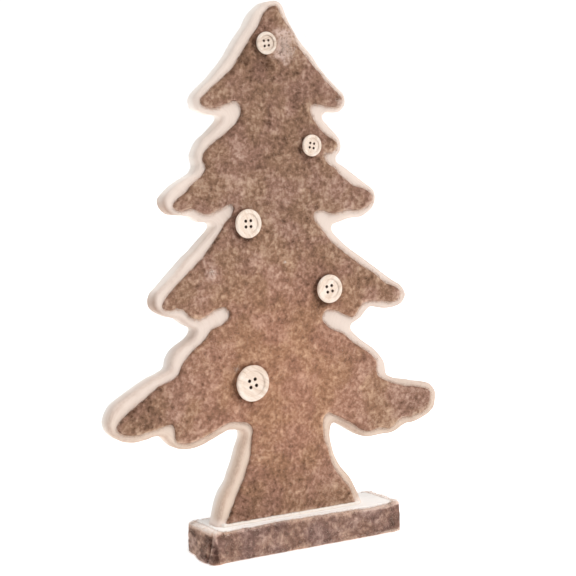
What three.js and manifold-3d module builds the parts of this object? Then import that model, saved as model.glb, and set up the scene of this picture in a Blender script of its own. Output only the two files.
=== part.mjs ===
// Button christmas tree: a flat board tree with rounded edges, faced front and back with wool felt,
// carrying five wooden four-hole buttons, and standing on a rectangular foot board whose sides are
// wrapped in a strip of the same felt.
//
// Millimetres. +Z up, +X to the viewer's right, +Y to the back. The origin is on the table,
// under the middle of the whole ornament.

import * as THREE from 'three';
import { mergeVertices } from 'three/addons/utils/BufferGeometryUtils.js';
import Module from 'manifold-3d';

const wasm = await Module();
wasm.setup();

// ---- driving dimensions ----------------------------------------------------------------------

const GAP = 0.3;                 // air between pieces that touch

const BASE_LENGTH = 139;         // foot board, bare
const BASE_DEPTH = 36;
const BASE_HEIGHT = 22;
const BASE_X = 12.7;             // the tree stands left of the middle of its foot
const BASE_CORNER_R = 1.5;
const BASE_EDGE = 0.8;           // arris on the foot board's edges

const BAND_THICKNESS = 2.8;      // felt strip round the foot
const BAND_END_THICKNESS = 4.4;  // at the foot's two ends, where it bends round and stands fuller
const BAND_HEIGHT = 21;
const BAND_SLIT = 0.8;           // where the strip's two ends meet
const BAND_SLIT_Y = -15.2;

const BOARD_THICKNESS = 15;      // tree board
const BOARD_FRONT_Y = -9;
const BOARD_ROUND = 3;           // edges rounded over
const BOARD_BOTTOM = BASE_HEIGHT + GAP;

const FELT_THICKNESS = 2.6;      // felt on the tree's faces

const SCREW_X = [-24, 30];       // two screws up through the foot into the trunk
const SCREW_LENGTH = 38;
const SCREW_R = 2;
const SCREW_HEAD_R = 4;
const SCREW_HEAD_H = 2.6;
const SCREW_SUNK = 0.5;          // heads below the foot's underside
const CLEARANCE_R = 2.5;         // hole in the foot
const PILOT_R = 2.35;            // hole in the trunk

const GLUE_THICKNESS = 0.5;

// Buttons: diameter, thickness, place on the tree, turn of the hole pattern, hole spacing and size.
const BUTTONS = [
  { d: 15, t: 3.0, x: -7.3, z: 345.2, turn: 6, pitch: 3.4, hole: 1.0 },
  { d: 15, t: 3.0, x: 26.3, z: 276.3, turn: -11, pitch: 3.1, hole: 0.95 },
  { d: 20, t: 3.5, x: -24.9, z: 225.9, turn: 1, pitch: 3.8, hole: 1.15 },
  { d: 20, t: 3.5, x: 37.0, z: 177.5, turn: 9, pitch: 3.9, hole: 1.15 },
  { d: 25, t: 4.0, x: -25.8, z: 118.4, turn: 12, pitch: 4.5, hole: 1.3 },
];

// Outline of the tree board, [x, z], from the trunk's right foot up the right side, over the tip
// and down the left side. A smooth curve goes through these points.
const BOARD_OUTLINE = [
  [62.9, 22.3], [54.2, 40.9], [45.9, 50.8], [41.8, 58.1], [38.1, 74.1], [40.3, 81.5],
  [52.7, 77.1], [57.3, 74.1], [67.6, 68.8], [80.5, 68.9], [91.6, 69.4], [102.4, 74.3],
  [109.8, 74.7], [123.2, 79.4], [127.7, 83.9], [129.1, 92.3], [128.4, 96], [123.3, 101.4],
  [115.4, 103], [105, 105.6], [87.3, 111.7], [85.3, 120.4], [78.1, 129.9], [64.5, 140.1],
  [58.2, 146.3], [58, 149.6], [65.9, 154.3], [74.8, 161.1], [87.4, 159.3], [100.4, 161.3],
  [104.6, 167.2], [101.1, 174.6], [92.7, 179.6], [84.1, 185.8], [70.4, 195.7], [62.8, 200.9],
  [56.3, 205.7], [47.7, 213.5], [44.7, 217.6], [45, 220.4], [50.2, 222.1], [58.7, 224.5],
  [70.1, 225.9], [79.8, 233.2], [80.3, 242.6], [72.7, 249], [65.8, 253.9], [55.5, 260.7],
  [50, 264.2], [49.4, 267.4], [53.3, 272.4], [53, 279.3], [48.3, 284.9], [39.1, 295.3],
  [42.2, 298.4], [52.6, 298.8], [57.3, 302.4], [58.3, 307.5], [56.9, 310.9], [47.9, 319.2],
  [39, 328.5], [32.5, 337.3], [23.2, 347.3], [15, 360], [7.9, 373.1], [-1.7, 372.8],
  [-12, 364.9], [-17.1, 357.1], [-27.7, 343.2], [-32.9, 335.6], [-45.9, 321.9], [-54.3, 314.7],
  [-58.3, 309.4], [-56.9, 302.8], [-47.9, 299.2], [-41.2, 298.5], [-38.7, 296.4], [-48.3, 286],
  [-53.2, 282.3], [-58.8, 272.1], [-57.9, 265.1], [-60.4, 260.9], [-74.6, 253.1], [-83.5, 244.1],
  [-82.4, 238.7], [-77.3, 234.3], [-65, 232.5], [-56.8, 228.4], [-49.5, 227.7], [-47, 224.8],
  [-55.9, 215.3], [-64.6, 207.8], [-68, 205.2], [-80, 194.4], [-86.1, 188.4], [-92.1, 182.8],
  [-93.1, 174.5], [-85.9, 168.1], [-76.1, 165.1], [-69.8, 160.5], [-63.9, 157.1], [-65.6, 152.9],
  [-78.1, 144.6], [-82.5, 139.1], [-84.3, 132.9], [-88.4, 130.3], [-98.5, 126.9], [-111.2, 120.1],
  [-117.7, 116.6], [-124, 112.4], [-127.9, 107.2], [-129.4, 99.8], [-126.9, 93.9], [-120.1, 88.8],
  [-111.8, 87.1], [-104, 87.7], [-95.7, 89.4], [-90.4, 88.1], [-81.5, 79.6], [-67.2, 78.3],
  [-48.7, 84.3], [-40.4, 87.1], [-30.2, 83.4], [-34.1, 69.4], [-39.2, 57], [-41.6, 51],
  [-47.4, 42.9], [-52.6, 27.1], [-53.8, 22.3],
];

// Outline of the felt, cut a little smaller, in the same order.
const FELT_OUTLINE = [
  [54.8, 24.3], [48.9, 37.5], [37, 54.1], [33.6, 65.3], [31.1, 72.2], [30.2, 85.5],
  [34.6, 89.6], [44.4, 85.5], [54.2, 80.2], [65.4, 73.5], [78.7, 74.4], [85.4, 73.6],
  [95.1, 78.7], [103.4, 78.6], [118.9, 84.6], [121.3, 96.2], [109.1, 100.9], [98.9, 102.9],
  [79.3, 110.9], [76, 115.9], [75.2, 122.5], [68.9, 129.9], [57, 138.1], [49.1, 144.4],
  [36.7, 151.7], [33.3, 157], [35.7, 161.1], [46.4, 159.6], [56.8, 155.6], [61.8, 159.9],
  [66.9, 164.5], [79.8, 164.9], [93.4, 164.6], [96.7, 168.6], [93.7, 173.6], [84.2, 178.6],
  [77.1, 184.6], [66.9, 190.9], [55, 199.2], [42, 209], [35.3, 217], [28.5, 225.7],
  [29.1, 229.6], [34.9, 230.7], [43.6, 228.6], [55.6, 230.8], [65.5, 230.4], [75.4, 237.3],
  [71.1, 243.6], [60, 248.2], [51, 254.3], [46.2, 259.4], [40.3, 263.9], [38.4, 269.1],
  [44.7, 271.7], [47.5, 275.7], [35.2, 287.2], [27.7, 297.9], [28.3, 302.6], [32.7, 303.7],
  [44, 302.1], [51.4, 306.1], [44, 316.5], [31.3, 330.5], [19.1, 344.6], [8.5, 361.8],
  [2.9, 370.3], [-4.3, 367.1], [-14, 353.4], [-25.2, 338.3], [-30.3, 330.6], [-42.6, 320.3],
  [-55.3, 307.4], [-45.8, 302.7], [-29.4, 305.8], [-28.1, 297.2], [-37.3, 287.3], [-45.2, 282.1],
  [-54.6, 274], [-55.4, 269.1], [-54.2, 264.1], [-68.4, 249.4], [-75.7, 244.3], [-78.3, 239.8],
  [-73, 236.7], [-65.4, 237.3], [-55, 233.4], [-42.4, 236.9], [-38, 238.3], [-35.1, 236.6],
  [-47, 219], [-56.2, 207.6], [-69.2, 195.8], [-78.3, 188.2], [-88, 177.8], [-88.4, 174.1],
  [-85.3, 172], [-76, 171.9], [-69.6, 166.2], [-62.5, 164.3], [-49.7, 169.6], [-43.6, 169.6],
  [-40.8, 166.3], [-44.9, 160.6], [-52.9, 156.9], [-59.7, 149.8], [-67, 144.6], [-75.2, 136.6],
  [-80.1, 128.7], [-95.5, 121.8], [-104.8, 115.6], [-111.5, 111.5], [-122.8, 103.1], [-125, 98.3],
  [-121.4, 94], [-113.4, 92], [-93.3, 95.5], [-85.6, 95.4], [-82.9, 85.2], [-74.1, 82.7],
  [-55.7, 87.9], [-43.7, 92.5], [-30.5, 90.7], [-26.1, 86.5], [-26.6, 80.3], [-27.8, 69.3],
  [-31, 58.7], [-40, 40.9], [-48.2, 24.3],
];

// ---- materials -------------------------------------------------------------------------------

const whitePaint = new THREE.MeshStandardMaterial({ color: 0xf3e8de, roughness: 0.7, metalness: 0 });
const basePaint = new THREE.MeshStandardMaterial({ color: 0xfaf5f0, roughness: 0.65, metalness: 0 });
const brownFelt = new THREE.MeshStandardMaterial({ color: 0x9b7864, roughness: 1, metalness: 0 });
const bandFelt = new THREE.MeshStandardMaterial({ color: 0x866a5c, roughness: 1, metalness: 0 });
const paleWood = new THREE.MeshStandardMaterial({ color: 0xf8e6d2, roughness: 0.55, metalness: 0 });
const glueClear = new THREE.MeshStandardMaterial({ color: 0x6b4e3a, roughness: 0.35, metalness: 0 });
const zincSteel = new THREE.MeshStandardMaterial({ color: 0xb9b7ae, roughness: 0.35, metalness: 1 });

// ---- solids ----------------------------------------------------------------------------------

// A closed geometry as a solid that can be cut and joined.
function solid(geometry) {
  const g = (geometry.index ? geometry.toNonIndexed() : geometry.clone());
  g.deleteAttribute('normal');
  g.deleteAttribute('uv');
  const m = mergeVertices(g, 1e-4);
  const ids = [];
  for (let i = 0; i < m.index.count; i += 3) {
    const [a, b, c] = [m.index.getX(i), m.index.getX(i + 1), m.index.getX(i + 2)];
    if (a !== b && b !== c && c !== a) ids.push(a, b, c);
  }
  return new wasm.Manifold(new wasm.Mesh({
    numProp: 3,
    vertProperties: new Float32Array(m.attributes.position.array),
    triVerts: new Uint32Array(ids),
  }));
}

function geometryOf(manifold) {
  const { vertProperties, triVerts } = manifold.getMesh();
  const g = new THREE.BufferGeometry();
  g.setAttribute('position', new THREE.BufferAttribute(new Float32Array(vertProperties), 3));
  g.setIndex(new THREE.BufferAttribute(new Uint32Array(triVerts), 1));
  g.computeVertexNormals();
  return g;
}

function piece(name, geometry, material) {
  const mesh = new THREE.Mesh(geometry, material);
  mesh.name = name;
  return mesh;
}

// ---- outlines --------------------------------------------------------------------------------

// Drops points that lie within tol of the line between their neighbours that stay.
function thin(points, tol) {
  const keep = new Array(points.length).fill(false);
  keep[0] = keep[points.length - 1] = true;
  const stack = [[0, points.length - 1]];
  while (stack.length) {
    const [a, b] = stack.pop();
    const dir = points[b].clone().sub(points[a]);
    const len = dir.length();
    let far = -1, worst = tol;
    for (let i = a + 1; i < b; i++) {
      const v = points[i].clone().sub(points[a]);
      const off = len > 1e-6 ? Math.abs(dir.x * v.y - dir.y * v.x) / len : v.length();
      if (off > worst) { worst = off; far = i; }
    }
    if (far > 0) { keep[far] = true; stack.push([a, far], [far, b]); }
  }
  return points.filter((p, i) => keep[i]);
}

// The smooth line through an outline's points, as plain points.
function smooth(outline, tol) {
  const curve = new THREE.CatmullRomCurve3(
    outline.map(([x, z]) => new THREE.Vector3(x, z, 0)), false, 'centripetal');
  const points = curve.getPoints((outline.length - 1) * 5).map((p) => new THREE.Vector2(p.x, p.y));
  return thin(points, tol);
}

function roundedRectangle(length, depth, r) {
  const [x, y] = [length / 2, depth / 2];
  const s = new THREE.Shape();
  s.moveTo(-x + r, -y);
  s.lineTo(x - r, -y);
  s.absarc(x - r, -y + r, r, -Math.PI / 2, 0, false);
  s.lineTo(x, y - r);
  s.absarc(x - r, y - r, r, 0, Math.PI / 2, false);
  s.lineTo(-x + r, y);
  s.absarc(-x + r, y - r, r, Math.PI / 2, Math.PI, false);
  s.lineTo(-x, -y + r);
  s.absarc(-x + r, -y + r, r, Math.PI, Math.PI * 1.5, false);
  return s;
}

// ---- foot ------------------------------------------------------------------------------------

// Foot board: a block with its edges eased, and two countersunk holes for the screws. The holes are
// placed under the trunk, so they lie to the left of the block's own middle.
function baseBoardGeometry() {
  let body = solid(new THREE.ExtrudeGeometry(
    roundedRectangle(BASE_LENGTH, BASE_DEPTH, BASE_CORNER_R),
    { depth: BASE_HEIGHT - 2 * BASE_EDGE, bevelEnabled: true, bevelThickness: BASE_EDGE,
      bevelSize: BASE_EDGE, bevelOffset: -BASE_EDGE, bevelSegments: 1, curveSegments: 3 })
    .translate(0, 0, BASE_EDGE));
  for (const sx of SCREW_X) {
    const x = sx - BASE_X;
    const y = BOARD_FRONT_Y + BOARD_THICKNESS / 2;
    const hole = new THREE.CylinderGeometry(CLEARANCE_R, CLEARANCE_R, BASE_HEIGHT + 2, 24)
      .rotateX(Math.PI / 2).translate(x, y, BASE_HEIGHT / 2);
    const deep = SCREW_SUNK + SCREW_HEAD_H + GAP;
    const wide = SCREW_HEAD_R + 0.6;
    const sink = new THREE.LatheGeometry([
      new THREE.Vector2(0, -1), new THREE.Vector2(wide, -1), new THREE.Vector2(wide, SCREW_SUNK + 0.4),
      new THREE.Vector2(CLEARANCE_R, deep + 0.6), new THREE.Vector2(0, deep + 0.6),
    ], 24).rotateX(Math.PI / 2).translate(x, y, 0);
    body = body.subtract(solid(hole)).subtract(solid(sink));
  }
  return geometryOf(body);
}

// Felt strip: one long strip bent round the foot board, open only at the slit where its ends meet.
function bandGeometry() {
  const inner = 2 * GAP;
  const outer = inner + 2 * BAND_THICKNESS;
  const outerLong = inner + 2 * BAND_END_THICKNESS;
  const flat = { depth: BAND_HEIGHT, bevelEnabled: false, curveSegments: 5 };
  const outside = new THREE.ExtrudeGeometry(
    roundedRectangle(BASE_LENGTH + outerLong, BASE_DEPTH + outer, BASE_CORNER_R + GAP + BAND_THICKNESS), flat);
  const inside = new THREE.ExtrudeGeometry(
    roundedRectangle(BASE_LENGTH + inner, BASE_DEPTH + inner, BASE_CORNER_R + GAP),
    { ...flat, depth: BAND_HEIGHT + 4 }).translate(0, 0, -2);
  const slit = new THREE.BoxGeometry(BAND_END_THICKNESS * 2, BAND_SLIT, BAND_HEIGHT + 4)
    .translate(-(BASE_LENGTH + outerLong) / 2 + BAND_END_THICKNESS / 2, BAND_SLIT_Y, BAND_HEIGHT / 2);
  return geometryOf(solid(outside).subtract(solid(inside)).subtract(solid(slit)));
}

// Countersunk wood screw standing on its head, cross recess in the head.
function screwGeometry() {
  const shank = SCREW_LENGTH - 7;
  let body = solid(new THREE.LatheGeometry([
    new THREE.Vector2(0, 0), new THREE.Vector2(SCREW_HEAD_R, 0), new THREE.Vector2(SCREW_HEAD_R, 0.4),
    new THREE.Vector2(SCREW_R, SCREW_HEAD_H), new THREE.Vector2(SCREW_R, shank),
    new THREE.Vector2(0.35, SCREW_LENGTH - 0.4), new THREE.Vector2(0, SCREW_LENGTH),
  ], 20).rotateX(Math.PI / 2));
  for (const [w, d] of [[4.4, 1], [1, 4.4]]) {
    body = body.subtract(solid(new THREE.BoxGeometry(w, d, 3).translate(0, 0, 0)));
  }
  return geometryOf(body);
}

// ---- tree ------------------------------------------------------------------------------------

// Tree board: the outline extruded, its edges rounded over all round, then sawn square at the foot,
// with two pilot holes going up into the trunk.
function treeBoardGeometry() {
  const line = smooth(BOARD_OUTLINE, 0.14);
  const below = BOARD_BOTTOM - 9;
  const [first, last] = [line[0], line[line.length - 1]];
  const shape = new THREE.Shape([
    new THREE.Vector2(last.x - 1.2, below), new THREE.Vector2(first.x + 2, below), ...line]);
  let body = solid(new THREE.ExtrudeGeometry(shape, {
    depth: BOARD_THICKNESS - 2 * BOARD_ROUND, bevelEnabled: true, bevelThickness: BOARD_ROUND,
    bevelSize: BOARD_ROUND, bevelOffset: -BOARD_ROUND, bevelSegments: 3 }));
  body = body.subtract(solid(new THREE.BoxGeometry(400, 40, 60)
    .translate(0, BOARD_BOTTOM - 20, 0)));
  for (const x of SCREW_X) {
    const top = SCREW_SUNK + SCREW_LENGTH + 3;
    const height = top - BOARD_BOTTOM + 2;
    body = body.subtract(solid(new THREE.CylinderGeometry(PILOT_R, PILOT_R, height, 20)
      .translate(x, top - height / 2, BOARD_THICKNESS / 2 - BOARD_ROUND)));
  }
  return geometryOf(body);
}

function feltGeometry() {
  return geometryOf(solid(new THREE.ExtrudeGeometry(
    new THREE.Shape(smooth(FELT_OUTLINE, 0.14)), { depth: FELT_THICKNESS, bevelEnabled: false })));
}

// Wooden button, lying with its back at y = 0 and its face towards +y: a rounded rim round a shallow
// dish, with four holes right through.
function buttonGeometry({ d, t, pitch, hole }) {
  const r = d / 2;
  const dish = r * 0.73;
  const v = (x, y) => new THREE.Vector2(x, y);
  let body = solid(new THREE.LatheGeometry([
    v(0, 0), v(r * 0.84, 0), v(r * 0.95, t * 0.12), v(r, t * 0.4), v(r, t * 0.62), v(r * 0.965, t * 0.86),
    v(r * 0.9, t), v(r * 0.83, t * 0.985), v(dish, t * 0.8), v(dish * 0.6, t * 0.74), v(0, t * 0.72),
  ], 36));
  for (const [i, j] of [[1, 1], [1, -1], [-1, 1], [-1, -1]]) {
    body = body.subtract(solid(new THREE.CylinderGeometry(hole, hole, t + 4, 12)
      .translate(i * pitch / 2, t / 2, j * pitch / 2)));
  }
  return geometryOf(body);
}

// Dab of glue, as it sets under a button: a low disc with a round edge.
function glueGeometry(d) {
  const r = d * 0.24;
  const v = (x, y) => new THREE.Vector2(x, y);
  return geometryOf(solid(new THREE.LatheGeometry([
    v(0, 0), v(r * 0.93, 0), v(r, GLUE_THICKNESS * 0.5), v(r * 0.93, GLUE_THICKNESS), v(0, GLUE_THICKNESS),
  ], 20)));
}

// ---- assembly --------------------------------------------------------------------------------

const model = new THREE.Group();

const foot = new THREE.Group();
foot.position.x = BASE_X;
foot.add(piece('base_board', baseBoardGeometry(), basePaint));
foot.add(piece('base_felt_band', bandGeometry(), bandFelt));
model.add(foot);

const midY = BOARD_FRONT_Y + BOARD_THICKNESS / 2;
['base_screw_left', 'base_screw_right'].forEach((name, i) => {
  const screw = piece(name, screwGeometry(), zincSteel);
  screw.position.set(SCREW_X[i], midY, SCREW_SUNK);
  screw.rotation.z = i ? 0.9 : 0.3;
  model.add(screw);
});

// The tree's outlines are drawn in x and z. A quarter turn about X stands them up, and then the
// extrusion runs towards the front.
const tree = new THREE.Group();
const board = piece('tree_board', treeBoardGeometry(), whitePaint);
board.rotation.x = Math.PI / 2;
board.position.y = BOARD_FRONT_Y + BOARD_THICKNESS - BOARD_ROUND;
tree.add(board);

const frontFelt = piece('front_felt', feltGeometry(), brownFelt);
frontFelt.rotation.x = Math.PI / 2;
frontFelt.position.y = BOARD_FRONT_Y - GAP;
tree.add(frontFelt);

const backFelt = piece('back_felt', feltGeometry(), brownFelt);
backFelt.rotation.x = Math.PI / 2;
backFelt.position.y = BOARD_FRONT_Y + BOARD_THICKNESS + GAP + FELT_THICKNESS;
tree.add(backFelt);

const feltFace = BOARD_FRONT_Y - GAP - FELT_THICKNESS;
BUTTONS.forEach((b, i) => {
  const glue = piece(`button_glue_${i + 1}`, glueGeometry(b.d), glueClear);
  glue.position.set(b.x, feltFace - GAP, b.z);
  glue.rotation.x = Math.PI;
  tree.add(glue);
  const button = piece(`button_${i + 1}`, buttonGeometry(b), paleWood);
  button.position.set(b.x, feltFace - GAP - GLUE_THICKNESS - GAP, b.z);
  button.rotation.set(Math.PI, THREE.MathUtils.degToRad(b.turn), 0);
  tree.add(button);
});
model.add(tree);

export default model;
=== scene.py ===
"""Button christmas tree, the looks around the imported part: a painted board tree with rounded edges,
wool felt on both faces and round the foot, wooden buttons, glue dabs and screws."""

import math

import bmesh
import bpy
import numpy as np
from mathutils import Matrix, Vector, kdtree
from mathutils.geometry import delaunay_2d_cdt


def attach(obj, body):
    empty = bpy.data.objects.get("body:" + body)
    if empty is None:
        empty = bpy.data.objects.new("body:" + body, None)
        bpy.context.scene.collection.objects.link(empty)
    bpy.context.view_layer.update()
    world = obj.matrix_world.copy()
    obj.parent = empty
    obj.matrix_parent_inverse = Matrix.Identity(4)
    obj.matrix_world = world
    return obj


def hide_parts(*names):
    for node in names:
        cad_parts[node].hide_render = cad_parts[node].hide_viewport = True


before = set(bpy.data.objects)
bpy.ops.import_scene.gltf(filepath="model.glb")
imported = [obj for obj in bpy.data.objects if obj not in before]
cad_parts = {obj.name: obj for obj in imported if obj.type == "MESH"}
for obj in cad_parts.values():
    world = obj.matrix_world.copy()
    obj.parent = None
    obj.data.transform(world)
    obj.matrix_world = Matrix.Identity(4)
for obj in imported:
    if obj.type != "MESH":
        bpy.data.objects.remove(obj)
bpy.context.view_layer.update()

MM = 0.001  # shapes are worked out in millimetres

# ---- camera ------------------------------------------------------------------------------------


def make_camera():
    turn, pitch, roll = math.radians(30.0), math.radians(5.69), math.radians(-1.78)
    look = Vector((math.sin(turn) * math.cos(pitch), math.cos(turn) * math.cos(pitch), -math.sin(pitch)))
    right = Vector((math.cos(turn), -math.sin(turn), 0))
    up = right.cross(look)
    r = right * math.cos(roll) + up * math.sin(roll)
    u = up * math.cos(roll) - right * math.sin(roll)
    data = bpy.data.cameras.new("camera")
    data.lens, data.sensor_width = 96.31, 36.0
    data.clip_start, data.clip_end = 0.05, 50
    cam = bpy.data.objects.new("camera", data)
    cam.matrix_world = Matrix((
        (r.x, u.x, -look.x, -0.517233),
        (r.y, u.y, -look.y, -0.916760),
        (r.z, u.z, -look.z, 0.284325),
        (0, 0, 0, 1)))
    bpy.context.scene.collection.objects.link(cam)
    bpy.context.scene.camera = cam
    return cam


make_camera()

# ---- noise and outlines ------------------------------------------------------------------------


def lattice(i, seed):
    h = (i[..., 0] * 374761393 + i[..., 1] * 668265263 + i[..., 2] * 1440662683 + seed * 974634777) & 0xFFFFFFFF
    h = ((h ^ (h >> 13)) * 1274126177) & 0xFFFFFFFF
    h = ((h ^ (h >> 15)) * 2246822519) & 0xFFFFFFFF
    return ((h ^ (h >> 16)) & 0xFFFFF) / 524287.5 - 1


def lumps(p, size, seed, octaves=1, gain=0.5):
    """Smooth noise from about -1 to 1 at points p, in mm. size is the width of a lump."""
    p = np.atleast_2d(np.asarray(p, float))
    if p.shape[1] == 2:
        p = np.column_stack([p, np.full(len(p), 0.37)])
    total, weight = np.zeros(len(p)), 1.0
    for k in range(octaves):
        q = p / size + 11.3 * k
        i = np.floor(q).astype(np.int64)
        f = q - i
        w = f * f * f * (f * (f * 6 - 15) + 10)
        value = 0
        for a in (0, 1):
            for b in (0, 1):
                for c in (0, 1):
                    share = (w[:, 0] if a else 1 - w[:, 0]) * (w[:, 1] if b else 1 - w[:, 1]) * (w[:, 2] if c else 1 - w[:, 2])
                    value = value + share * lattice(i + np.array([a, b, c]), seed + 17 * k)
        total += weight * value
        weight, size = weight * gain, size / 2
    return total


def chain_of(node, y, foot):
    """The CAD node's outline at height y as an open line of (x, z) in mm, from its right foot over the tip to its left foot."""
    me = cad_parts[node].data
    co = np.array([v.co for v in me.vertices], float) / MM
    _, first, same = np.unique(np.round(co, 2), axis=0, return_index=True, return_inverse=True)
    same = same.ravel()
    beside = {}
    for p in me.polygons:
        if abs(p.normal.y) > 0.5:
            continue
        v = [first[same[i]] for i in p.vertices]
        for a, b in zip(v, v[1:] + v[:1]):
            if all(abs(co[i][1] - y) < 0.02 for i in (a, b)) and not all(abs(co[i][2] - foot) < 0.02 for i in (a, b)):
                beside.setdefault(a, set()).add(b)
                beside.setdefault(b, set()).add(a)
    ends = sorted((i for i in beside if len(beside[i]) == 1), key=lambda i: -co[i][0])
    line, last = [ends[0]], None
    while True:
        on = [i for i in sorted(beside[line[-1]]) if i != last]
        if not on or len(line) > 5000:
            break
        last = line[-1]
        line.append(on[0])
    return co[line][:, [0, 2]]


def rounded_line(points, step):
    """A smooth open line through points, with points about step apart."""
    p = np.vstack([2 * points[0] - points[1], points, 2 * points[-1] - points[-2]])
    out = []
    for k in range(1, len(p) - 2):
        p0, p1, p2, p3 = p[k - 1:k + 3]
        t1 = np.linalg.norm(p1 - p0) ** 0.5
        t2 = t1 + np.linalg.norm(p2 - p1) ** 0.5
        t3 = t2 + np.linalg.norm(p3 - p2) ** 0.5
        t = np.linspace(t1, t2, 24, endpoint=False)[:, None]
        a1 = (t1 - t) / t1 * p0 + t / t1 * p1
        a2 = (t2 - t) / (t2 - t1) * p1 + (t - t1) / (t2 - t1) * p2
        a3 = (t3 - t) / (t3 - t2) * p2 + (t - t2) / (t3 - t2) * p3
        b1 = (t2 - t) / t2 * a1 + t / t2 * a2
        b2 = (t3 - t) / (t3 - t1) * a2 + (t - t1) / (t3 - t1) * a3
        out.append((t2 - t) / (t2 - t1) * b1 + (t - t1) / (t2 - t1) * b2)
    return spaced(np.vstack(out + [p[-2:-1]]), step)


def spaced(line, step):
    along = np.concatenate([[0], np.cumsum(np.linalg.norm(np.diff(line, axis=0), axis=1))])
    n = max(2, round(along[-1] / step) + 1)
    s = np.linspace(0, along[-1], n)
    return np.column_stack([np.interp(s, along, line[:, 0]), np.interp(s, along, line[:, 1])])


def outward(loop, closed=True):
    """Unit normals of an anticlockwise loop."""
    if closed:
        d = np.roll(loop, -1, 0) - np.roll(loop, 1, 0)
    else:
        d = np.gradient(loop, axis=0)
    n = np.column_stack([d[:, 1], -d[:, 0]])
    return n / np.maximum(np.linalg.norm(n, axis=1, keepdims=True), 1e-9)


def inside(p, loop):
    a, b = loop, np.roll(loop, -1, 0)
    slope = (b[:, 0] - a[:, 0]) / np.where(b[:, 1] == a[:, 1], 1e-12, b[:, 1] - a[:, 1])
    found = np.zeros(len(p), bool)
    for k in range(0, len(p), 4000):
        q = p[k:k + 4000]
        crosses = (a[:, 1] > q[:, 1:2]) != (b[:, 1] > q[:, 1:2])
        x = a[:, 0] + (q[:, 1:2] - a[:, 1]) * slope
        found[k:k + 4000] = (crosses & (q[:, 0:1] < x)).sum(1) % 2 == 1
    return found


class Edge:
    """Distance to a line, and how far along it the nearest point is."""

    def __init__(self, line, closed):
        line = np.vstack([line, line[:1]]) if closed else line
        self.line = spaced(line, 0.2)
        self.step = np.linalg.norm(self.line[1] - self.line[0])
        self.tree = kdtree.KDTree(len(self.line))
        for i, (x, z) in enumerate(self.line):
            self.tree.insert((x, z, 0), i)
        self.tree.balance()

    def __call__(self, p):
        found = [self.tree.find((x, z, 0)) for x, z in p]
        return np.array([f[2] for f in found]), np.array([f[1] for f in found]) * self.step


def scattered(low, high, gap, rng, jitter=0.22):
    """Points in a jittered triangular pattern."""
    rows = np.arange(low[1], high[1], gap * 0.866)
    cols = np.arange(low[0], high[0], gap)
    x, z = np.meshgrid(cols, rows)
    x = x + (np.arange(len(rows)) % 2)[:, None] * gap / 2
    p = np.column_stack([x.ravel(), z.ravel()])
    return p + rng.uniform(-jitter, jitter, p.shape) * gap


def seeds_for(loop, edge, insets, gap, rng, rim_loop=None):
    """Points for the inside of a plate: lines that follow its edge at each inset, and a scatter further in."""
    rim_loop = loop if rim_loop is None else rim_loop
    n = outward(rim_loop, closed=rim_loop is loop)
    found = []
    for d in insets:
        p = rim_loop - n * d
        far, _ = edge(p)
        found.append(p[far > 0.94 * d])
    p = scattered(loop.min(0), loop.max(0), gap, rng)
    p = p[inside(p, loop[::2])]
    far, _ = edge(p)
    found.append(p[far > (max(insets) if len(insets) else 0) + 0.55 * gap])
    p = np.vstack(found)
    return p[inside(p, loop)]


# ---- meshes ------------------------------------------------------------------------------------


def triangles(points, loops):
    """(points, faces, where) of a triangulation that keeps to the loops. where[i] is input point i's place in it."""
    edges = [(a, b) for loop in loops for a, b in zip(loop, np.roll(loop, -1))]
    edges = [(int(a), int(b)) for a, b in edges]
    v, _, f, was, _, _ = delaunay_2d_cdt([Vector(p) for p in points.tolist()], edges, [], 4, 1e-6)
    where = np.full(len(points), -1)
    for i, olds in enumerate(was):
        for old in olds:
            where[old] = i
    v = np.array([tuple(p) for p in v])
    f = np.array(f)
    a, b, c = v[f[:, 0]], v[f[:, 1]], v[f[:, 2]]
    turn = (b[:, 0] - a[:, 0]) * (c[:, 1] - a[:, 1]) - (b[:, 1] - a[:, 1]) * (c[:, 0] - a[:, 0])
    f[turn < 0] = f[turn < 0][:, ::-1]
    return v, f, where


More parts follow.
